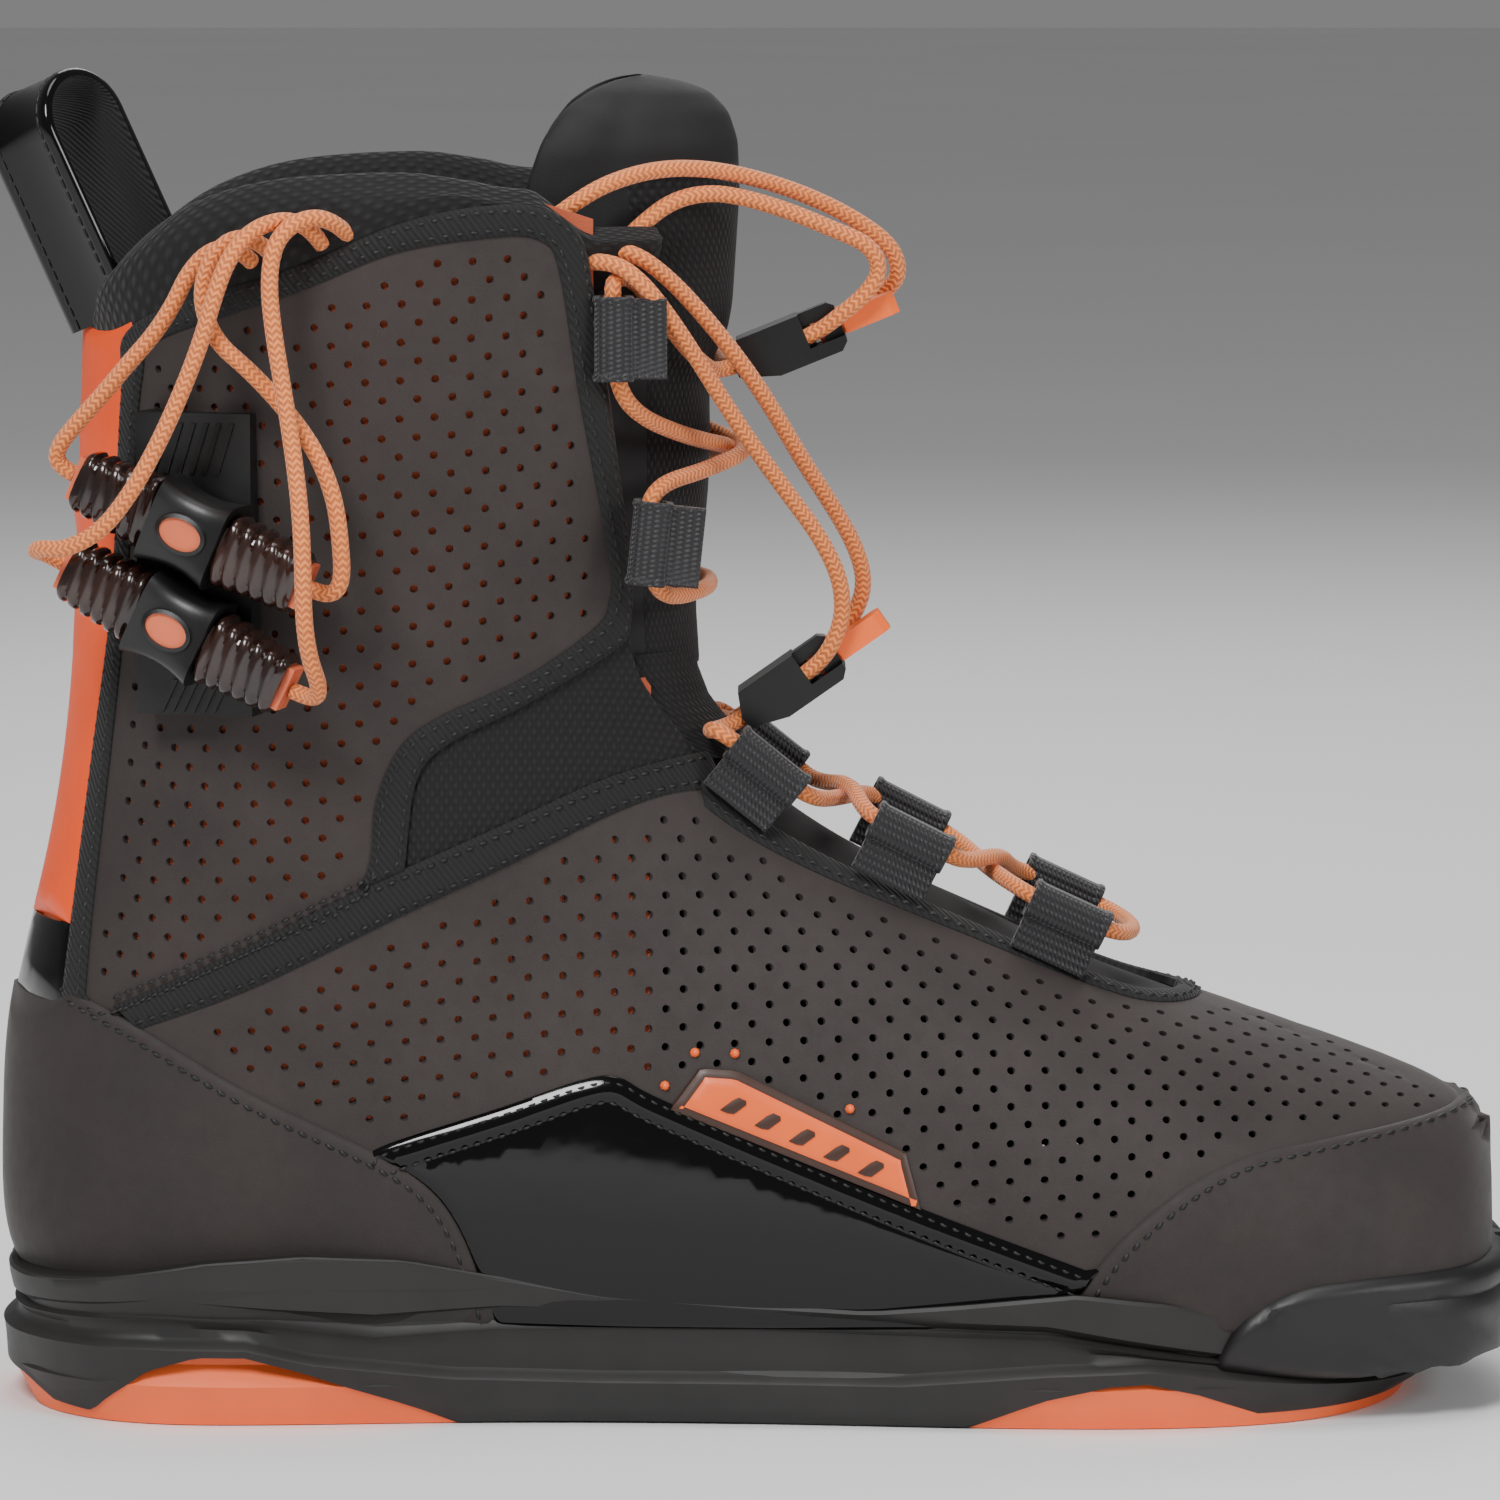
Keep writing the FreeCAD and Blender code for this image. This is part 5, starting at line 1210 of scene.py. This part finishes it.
LOWER_ENTRY = {
    "lateral": [(1.5, -6.6, 141), (-3.2, -6.6, 137.7), (-8.5, -13.5, 137)],
    "medial": [(1.5, 0.6, 141), (-3.2, 0.6, 137.7), (-3.6, 8, 136.8), (-8.3, 14.5, 137)],
}
LOWER_LACING = [
    (-7, 19.4, 138.3), (-1.5, 19.5, 134.5), (9.5, 19.5, 125.7), (14, 14, 123), (18.5, 0, 121.7),
    (23, -14, 121),
    (27, -19.5, 119), (38.5, -19.5, 113), (44, -14, 110), (49, 0, 106.8), (54, 14, 105), (59.5, 19.5, 102.5),
    (70, 19.5, 97.5), (76.5, 14, 95), (79, 0, 94.3),
]
UPPER_CROSSING = ((4,), (3.9, 0, 0))
LOWER_CROSSING = ((4, 9), (2.2, 0, 3.0))
FREE_LACES = {
    "lace_front_lower_1": [
        (6.8, -6.6, 144.75), (12.9, -6.9, 149), (16.4, -9, 153.4), (18.9, -10, 160), (18.3, -12.5, 168),
        (14, -16, 177), (7.5, -20, 186), (0.5, -25, 196), (-5.5, -29.5, 205.5), (-10.5, -34.5, 214),
        (-15.5, -39, 222), (-21, -42, 229.5), (-27, -41.5, 234), (-32, -38.5, 233.5),
    ],
    "lace_front_lower_2": [
        (6.8, 0.6, 144.75), (12.9, 0.9, 149), (16.4, 3, 153.4), (21.3, 4, 158.5), (23.6, 3, 165.5),
        (21.5, -1, 173.5), (16.5, -6, 182.5), (10.5, -12, 192), (5, -18, 202), (-1, -23.5, 211.5),
        (-8.5, -29, 221.5), (-16.5, -33.5, 230.5), (-24, -36.5, 236), (-31.5, -34.5, 236.5),
    ],
    "lace_front_upper_1": [
        (6.3, -8.6, 214.35), (13.2, -8.9, 217.15), (18, -11, 221), (23.5, -12, 225.5), (26.5, -12, 230.5),
        (24, -13.5, 235.5), (17, -15, 238.5), (9, -17, 242), (0, -19, 245), (-8, -22, 246.5),
        (-15.5, -25.5, 245),
        (-21.5, -28, 240.5), (-26.5, -30, 235.5), (-31, -31.5, 231.5),
    ],
    "lace_front_upper_2": [
        (6.3, -1.4, 214.35), (13.2, -1.1, 217.15), (18.2, 1.4, 220.7), (25.5, 1.8, 223.8), (30.5, -1, 228),
        (29, -4, 234.5), (21, -7, 240.5), (11, -10.5, 245.5), (1, -15.5, 249), (-8, -20.5, 251),
        (-16.5, -26, 251.5), (-25, -31.5, 250), (-33, -35.5, 246.5), (-39.5, -36, 241.5),
    ],
    "lace_rear_lower_1": [
        (-84, -48.5, 237.5), (-86.5, -52, 241.5), (-92, -55.5, 243), (-98, -58.5, 240.5), (-102, -61, 235),
        (-104.5, -62, 228), (-107, -62, 219.5), (-110.5, -62, 210.5), (-115, -62, 200.5),
        (-120.5, -61.5, 190.5),
        (-127, -59.5, 182), (-134.5, -56, 178), (-139.5, -52.5, 178), (-141.5, -47, 177),
        (-139.6, -43.7, 176.3),
        (-135.6, -44.8, 174.2),
    ],
    "lace_rear_lower_2": [
        (-79, -48.5, 239.5), (-81.5, -53, 242.5), (-87, -56.5, 243.5), (-92.5, -59, 239.5),
        (-94, -60.5, 231.5),
        (-93, -62, 221.5), (-91, -63.5, 210), (-89, -66, 198), (-87.5, -69, 186.5), (-87, -70.5, 175.5),
        (-87, -70, 165.5), (-86, -67.5, 157.5), (-84.3, -63.5, 152), (-85.2, -59.7, 148.4),
        (-89.9, -57.9, 150.4),
    ],
    "lace_rear_upper_1": [
        (-98, -46.5, 234), (-100.5, -50, 237), (-105.5, -52, 237), (-110, -53, 232.5), (-113, -53.5, 226),
        (-117, -53, 220), (-122, -51.5, 214.5), (-127.5, -49.5, 208), (-133, -47.5, 202), (-137, -45.5, 197),
        (-136.8, -44.5, 193.6), (-133.2, -45.6, 191.9),
    ],
    "lace_rear_upper_2": [
        (-93.5, -47.5, 235), (-96, -52, 238.5), (-101.5, -55.5, 239.5), (-106, -57, 234.5),
        (-107.5, -58, 227),
        (-104.5, -57.8, 219), (-98, -57.6, 213.5), (-91, -58, 206), (-85, -60, 198), (-81.2, -62, 189),
        (-80, -62.5, 179.5), (-79.8, -61.5, 171.8), (-82.6, -60.1, 169), (-86.4, -58.9, 170.7),
    ],
}


def spline_points(route):
    """Points of the smooth NURBS line that has the route as its control points, in millimetres."""
    curve = bpy.data.curves.new("route", "CURVE")
    curve.dimensions = "3D"
    curve.resolution_u = 8
    line = curve.splines.new("NURBS")
    line.points.add(len(route) - 1)
    for point, place in zip(line.points, route):
        point.co = (*(MM * c for c in place), 1.0)
    line.order_u = 3
    line.use_endpoint_u = True
    holder = bpy.data.objects.new("route", curve)
    mesh = bpy.data.meshes.new_from_object(holder)
    points = np.array([v.co for v in mesh.vertices]) / MM
    bpy.data.objects.remove(holder)
    bpy.data.curves.remove(curve)
    bpy.data.meshes.remove(mesh)
    return points


def tube(name, route, radius=LACE / 2, sides=14):
    line = resample(spline_points(route), 1.1)
    tangent = np.gradient(line, axis=0)
    tangent /= np.linalg.norm(tangent, axis=1)[:, None]
    side = np.cross(tangent[0], (0, 0, 1.0))
    if np.linalg.norm(side) < 0.1:
        side = np.cross(tangent[0], (0, 1.0, 0))
    points, uv, travelled = [], [], 0.0
    for k, (p, d) in enumerate(zip(line, tangent)):
        side = side - d * (side @ d)
        side /= np.linalg.norm(side)
        up = np.cross(d, side)
        travelled += 0 if k == 0 else np.linalg.norm(p - line[k - 1])
        for s in range(sides):
            angle = 2 * math.pi * s / sides
            points.append(p + (side * math.cos(angle) + up * math.sin(angle)) * radius)
            uv.append((travelled / 4.2, 1.0 - abs(2.0 * s / sides - 1.0)))
    faces = grid_faces(len(line), sides, wrap_columns=True)
    faces += [tuple(range(sides))[::-1], tuple((len(line) - 1) * sides + s for s in range(sides))]
    return new_object(name, points, faces, np.array(uv), sharp=60), line


def make_laces():
    for name, entry, zigzag, (crossings, lift) in (
        ("upper", UPPER_ENTRY, UPPER_LACING, UPPER_CROSSING),
        ("lower", LOWER_ENTRY, LOWER_LACING, LOWER_CROSSING),
    ):
        lateral = list(entry["lateral"]) + [(x, float(swing(x)) - out, z) for x, out, z in zigzag]
        medial = list(entry["medial"]) + [(x, float(swing(x)) + out, z) for x, out, z in zigzag[:-1]]
        for index in crossings:
            k = len(entry["medial"]) + index
            medial[k] = tuple(a + b for a, b in zip(medial[k], lift))
        lace, _ = tube(f"lacing_{name}_braid", lateral + medial[::-1])
        dress(lace, M["lace"], None if name == "upper" else "boot", [f"lacing_{name}"])
        if name == "upper":
            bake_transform(lace)
    for name, route in FREE_LACES.items():
        lace, line = tube(f"{name}_braid", route)
        lace.data.materials.append(M["lace"])
        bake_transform(lace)
        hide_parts(name)


# ---------------------------------------------------------------- chassis, webbing, handles and dock

CHASSIS_TOP = [
    (-153, 27.4), (-147, 27.5), (-129, 29.5), (-109, 33), (-89.5, 34.5), (-69.5, 33.5), (-53.5, 30.5),
    (-30, 26.5),
    (0, 24.5), (24, 23.5), (41.5, 25), (65.5, 27.5), (83.5, 25.5), (95.5, 22.5), (109, 15.5), (129, 11.5),
    (139, 7),
]
GROOVE_TOP = [(-153, 22), (-118, 25.5), (-98, 24), (-75, 22.5), (-50, 24), (0, 22.6), (60, 21), (100, 14),
              (139, 6.6)]
GROOVE_FOOT = [(-153, 20), (-118, 22), (-98, 21), (-75, 18), (-50, 19.5), (0, 19.6), (60, 18.5), (100, 12.8),
               (139, 6.2)]
LEDGE = [
    (-153, 15.5), (-121, 16), (-101, 16), (-88, 13), (-60, 9.8), (-30, 9), (30, 9), (60, 11.5), (80, 12.4),
    (95, 10.5),
    (110, 8.5), (139, 5),
]
PADS = [
    (-153, 8), (-148, 7), (-141, 2.5), (-133, 1.8), (-129, 5.5), (-121, 11.5), (-111, 14.5), (-101, 14.5),
    (-89.5, 11.5),
    (-69.5, 4.5), (-59, 0.3), (44, 0.3), (59.5, 6.5), (71.5, 9.5), (79.5, 10), (89.5, 7.5), (102, 2.5),
    (152, 2.5),
]
HEEL_HALF, TOE_HALF = 46.0, 54.0


def level(table, x):
    return float(np.interp(x, [a for a, _ in table], [b for _, b in table]))


def chassis_plan(inset):
    """Closed plan outline of the chassis, from the heel round the medial side, set in by inset."""
    heel, toe = HEEL_HALF - inset, TOE_HALF - inset
    stations = [
        (-152.5 + inset, 0), (-147 + 0.7 * inset, 0.52 * heel), (-128, 0.9 * heel), (-98, heel),
        (-50, 0.93 * heel),
        (0, 0.97 * heel), (50, 0.96 * toe), (82, toe), (112, 0.84 * toe), (131 - 0.7 * inset, 0.5 * toe),
        (139 - inset, 0),
    ]
    around = [(x, float(swing(x)) + y) for x, y in stations]
    around += [(x, float(swing(x)) - y) for x, y in stations[-2:0:-1]]
    count, out = len(around), []
    for k in range(count):
        a, b, c, d = (np.array(around[(k + shift) % count]) for shift in (-1, 0, 1, 2))
        for f in np.linspace(0, 1, 13)[:-1]:
            out.append(0.5 * (2 * b + (c - a) * f + (2 * a - 5 * b + 4 * c - d) * f ** 2
                              + (3 * b - a - 3 * c + d) * f ** 3))
    return np.array(out)


def make_chassis_sides():
    """Sculpted outer wall: a flared foot, a hollow band, a leaf-shaped groove and a soft top lip."""
    plans = {}

    def at(station, inset):
        key = round(inset, 2)
        if key not in plans:
            plans[key] = chassis_plan(key)
        return plans[key][station]

    count = len(chassis_plan(0.0))
    rows = []
    for station in range(count):
        x = at(station, 0.0)[0]
        pad, ledge, top = level(PADS, x), level(LEDGE, x), level(CHASSIS_TOP, x) + 0.4
        low, high = level(GROOVE_FOOT, x), level(GROOVE_TOP, x)
        pad_inset = 4.5 * (1 - min(pad, 8.5) / 8.5) - 0.5
        profile = [
            (pad, pad_inset), (min(pad + 0.5 * (ledge - pad), ledge - 0.8), min(pad_inset, 0.4) - 0.2),
            (ledge - 0.7, -0.7), (ledge, -0.9), (ledge + 0.5, -0.4), (ledge + 1.2, 1.4), (ledge + 2.0, 2.3),
            (0.5 * (ledge + 2 + low), 2.6), (low - 0.5, 1.8), (low, 1.5), (low + 0.5, 2.4),
            (0.5 * (low + high), 3.2), (high - 0.3, 2.3), (high + 0.4, 1.1), (0.5 * (high + 0.4 + top), 0.5),
            (top - 0.7, 0.3), (top, 0.9), (top, 2.2), (top - 1.5, 3.4), (ledge, 4.6), (pad, 5.4),
        ]
        for k in range(1, 17):
            if profile[k][0] <= profile[k - 1][0]:
                profile[k] = (profile[k - 1][0] + 0.02, profile[k][1])
        rows.append([(*at(station, inset), z) for z, inset in profile])
    columns = len(rows[0])
    points = np.array(rows).reshape(-1, 3)
    obj = new_object("chassis_side_wall", points, grid_faces(count, columns, True, True), sharp=38)
    dress(obj, M["chassis"])


def rounded(half_y, half_z, power, count=28):
    out = []
    for k in range(count):
        angle = 2 * math.pi * k / count
        c, s = math.cos(angle), math.sin(angle)
        out.append((half_y * math.copysign(abs(c) ** power, c), half_z * math.copysign(abs(s) ** power, s)))
    return np.array(out)


def sleeve(name, place, stations, shape, hole, material, body, replaces, sharp=35):
    """Tube along local X. shape(x, y, z) gives the outer scale, hole is the half size of the bore."""
    outer, inner = rounded(*shape[0]), rounded(hole[0], hole[1], 0.35)
    count = len(outer)
    points, rows = [], []
    for x in stations:
        row = [(x, y * f, z * f) for y, z in outer for f in (shape[1](x, y, z),)]
        rows.append(row)
    rows.append([(stations[-1], y, z) for y, z in inner])
    rows.append([(stations[0], y, z) for y, z in inner])
    for row in rows:
        points += [tuple(place @ Vector(p)) for p in row]
    faces = grid_faces(len(rows), count, True, True)
    obj = new_object(name, points, faces, sharp=sharp)
    return dress(obj, material, body, replaces)


DOCK_PLACE = Matrix.Translation((-109.0, -40.5, 173.0)) @ Matrix.Rotation(math.radians(-16), 4, "Z")
HANDLES = {"upper": (2.5, 8.3, 23.5), "lower": (-0.6, -10.7, 26.5)}


def make_handles():
    for which, (x, z, slope) in HANDLES.items():
        turn = Matrix.Rotation(math.radians(slope), 4, "Y")
        place = DOCK_PLACE @ Matrix.Translation((x, -11.5, z)) @ turn
        body = f"handle_{which}"

        for side, sign in (("left", -1), ("right", 1)):
            def ribs(x, y, z):
                away = abs(x) - 7.7
                phase = (away + 0.22 * z * sign) / 2.9
                tooth = abs(2 * (phase - math.floor(phase)) - 1)
                end = min(1.0, away / 1.2, (17.0 - away) / 1.2)
                return (0.86 + 0.13 * min(1.0, 1.7 * tooth)) * (1 - 0.010 * away) * (0.93 + 0.07 * end)

            stations = [sign * (7.7 + step * 17.0 / 46) for step in range(47)][::sign]
            sleeve(f"grip_{which}_{side}", place, stations, ((6.4, 7.6, 0.55), ribs), (3.1, 4.6), M["smoke"],
                   body, [f"handle_{which}_grips"])

        def waist(x, y, z):
            return 0.86 + 0.16 * min(1.0, abs(x) / 7.5) ** 2

        sleeve(f"clip_{which}", place, list(np.linspace(-7.5, 7.5, 17)), ((7.3, 8.8, 0.45), waist),
               (3.1, 4.6), M["dock"],
               body, [f"handle_{which}_clip"])
        oval, rim = [], []
        for k in range(28):
            angle = 2 * math.pi * k / 28
            oval.append((4.6 * math.cos(angle), 3.1 * math.sin(angle)))
            rim.append((5.4 * math.cos(angle), 3.9 * math.sin(angle)))
        plate = [place @ Vector((a, y, b)) for y in (-7.0, -5.2) for a, b in oval]
        faces = [tuple(range(28)), tuple(range(28, 56))[::-1]]
        faces += [(k, 28 + k, 28 + (k + 1) % 28, (k + 1) % 28) for k in range(28)]
        dress(new_object(f"clip_{which}_window", plate, faces), M["core"], body)
        ring_points = [place @ Vector((a, y, b))
                       for line, y in ((oval, -6.9), (oval, -7.6), (rim, -7.3), (rim, -5.6))
                       for a, b in line]
        dress(new_object(f"clip_{which}_rim", ring_points, grid_faces(4, 28, True, True)), M["dock"],
              body)


def make_dock_ribs():
    """Framed ribs on the tabs that stand out above and below the handles."""
    for name, low, high, half in (("upper", 19.0, 29.0, 8.0), ("lower", -28.5, -22.0, 6.5)):
        for k in range(6):
            x = -half + (2 * half) * (k + 0.5) / 6
            height = high - low
            corners = [(x - 0.6 - 1.6, low), (x + 0.5 - 1.6, low), (x + 0.5 + 1.6, low + height),
                       (x - 0.6 + 1.6, low + height)]
            points = [DOCK_PLACE @ Vector((a, y, b)) for y in (-4.5, -3.2) for a, b in corners]
            faces = [(0, 1, 2, 3), (7, 6, 5, 4), (0, 4, 5, 1), (1, 5, 6, 2), (2, 6, 7, 3), (3, 7, 4, 0)]
            dress(new_object(f"dock_rib_{name}_{k + 1}", points, faces), M["lock"])


UPPER_LOOPS = [(-27.0, 218.5, 41.0, 90.0), (-20.0, 177.5, 36.5, 84.0)]
LOWER_LOOPS = [(3.5, 130.5, 19.5, -39.0), (32.5, 116.0, 19.5, -27.0), (64.5, 100.0, 19.5, -25.0)]


def make_webbing_loop(name, place):
    """Flat woven tube with turned lips at both ends and a sewn tab."""
    stations = [-8.4, -8.2, -7.6, -7.2, -6.6] + list(np.linspace(-6, 6, 9)) + [6.6, 7.2, 7.6, 8.2, 8.4]

    def lips(x, y, z):
        return 1.0 + 0.11 * math.exp(-((abs(x) - 7.8) / 0.55) ** 2)

    tube_piece = sleeve(name + "_weave", place, stations, ((3.3, 3.8, 0.5), lips), (2.15, 2.65), M["webbing"],
                        "boot", [name], sharp=50)
    layer = tube_piece.data.uv_layers.new(name="flat")
    inverse = place.inverted()
    for loop in tube_piece.data.loops:
        local = inverse @ (tube_piece.data.vertices[loop.vertex_index].co / MM)
        layer.data[loop.index].uv = ((local.z + local.y) * 0.01, local.x * 0.01)
    profile = [(-8, 0), (-7.6, 0.35), (-6.8, 0), (6.8, 0), (7.6, 0.35), (8, 0)]
    points, uv = [], []
    for z in (-2.4, -5.5, -8.5, -10.6):
        for x, lift in profile:
            points.append(place @ Vector((x, -1.2 - lift, z)))
            uv.append((z * 0.01, x * 0.01))
        for x, _ in profile[::-1]:
            points.append(place @ Vector((x, 1.2, z)))
            uv.append((z * 0.01, x * 0.01))
    columns = 2 * len(profile)
    faces = grid_faces(4, columns, wrap_columns=True)
    faces += [tuple(range(columns))[::-1], tuple(3 * columns + k for k in range(columns))]
    dress(new_object(name + "_tab", points, faces, np.array(uv)), M["webbing"])


def make_webbing():
    for side, sign in (("lateral", -1), ("medial", 1)):
        for number, (x, z, out, slope) in enumerate(UPPER_LOOPS, start=1):
            a = math.radians(slope)
            turn = Matrix(((math.cos(a), 0, -math.sin(a)), (0, 1, 0), (math.sin(a), 0, math.cos(a)))).to_4x4()
            make_webbing_loop(f"lace_loop_{side}_{number}", Matrix.Translation((x, sign * out, z)) @ turn)
        for number, (x, z, out, slope) in enumerate(LOWER_LOOPS, start=3):
            place = (Matrix.Translation((x, float(swing(x)) + sign * out, z))
                     @ Matrix.Rotation(math.radians(-slope), 4, "Y"))
            make_webbing_loop(f"lace_loop_{side}_{number}", place)

# ---------------------------------------------------------------- setting

def setting():
    floor = new_object("floor", [(-9000, -9000, -0.2), (9000, -9000, -0.2), (9000, 9000, -0.2),
                                 (-9000, 9000, -0.2)],
                       [(0, 1, 2, 3)])
    shader = Shader("floor_pale", (0.86, 0.86, 0.86), 0.9)
    shader.vary(shader.noise(3), (0.85, 0.85, 0.85), (0.87, 0.87, 0.87))
    floor.data.materials.append(shader.material)
    world = bpy.data.worlds.new("studio")
    world.use_nodes = True
    world.node_tree.nodes["Background"].inputs[0].default_value = (1, 1, 1, 1)
    world.node_tree.nodes["Background"].inputs[1].default_value = 0.22
    bpy.context.scene.world = world
    for name, place, size, power in (
        ("key", (-0.5, -1.2, 1.3), 0.6, 26), ("fill", (1.1, -1.0, 0.7), 0.6, 9),
        ("back", (0.1, 1.2, 1.2), 1.2, 10),
        ("top", (0.0, -0.2, 1.6), 0.8, 9),
    ):
        lamp = bpy.data.lights.new(name, "AREA")
        lamp.shape, lamp.size, lamp.energy = "DISK", size, power
        holder = bpy.data.objects.new(name, lamp)
        holder.location = place
        holder.rotation_euler = (Vector((-0.01, 0, 0.12)) - Vector(place)).to_track_quat("-Z", "Y").to_euler()
        bpy.context.scene.collection.objects.link(holder)
    camera_data = bpy.data.cameras.new("view")
    camera_data.lens, camera_data.sensor_width = 189.5, 36
    camera = bpy.data.objects.new("view", camera_data)
    camera.location = (0.0, -1.6, 0.328)
    camera.rotation_euler = (math.radians(90 - 7.0), 0, 0)
    bpy.context.scene.collection.objects.link(camera)
    bpy.context.scene.camera = camera


def keep_nodes():
    """CAD pieces that stay and get their finish."""
    finish = {
        "chassis": "chassis", "heel_pad": "pad", "toe_pad": "pad", "baseplate": "plate",
        "midsole_foam": "lining",
        "footbed": "lining", "liner_foot": "lining", "liner_cuff": "lining", "foam_underlay": "foam",
        "tongue_base": "knit",
        "dock_plate": "dock",
    }
    for name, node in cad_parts.items():
        key = finish.get(name)
        if key is None:
            if name.endswith("_wedge"):
                key = "wedge"
            elif name.endswith("_core"):
                key = "core"
            elif name.endswith("_grips"):
                key = "smoke"
            elif name.endswith("_clip"):
                key = "dock"
            elif name.startswith("lock_"):
                key = "lock"
            elif name.startswith("lace_loop"):
                key = "webbing"
        if key:
            node.data.materials.clear()
            node.data.materials.append(M[key])


setting()
keep_nodes()
make_toe()
make_heel()
make_side_panels()
make_vamp()
make_instep_binding()
for which in ("lateral", "medial"):
    make_cuff(which)
    make_gusset(which)
make_badge()
make_collar()
make_tongue()
make_tongue_foot()
make_pull_loop()
make_chassis_sides()
make_handles()
make_dock_ribs()
make_webbing()
make_laces()
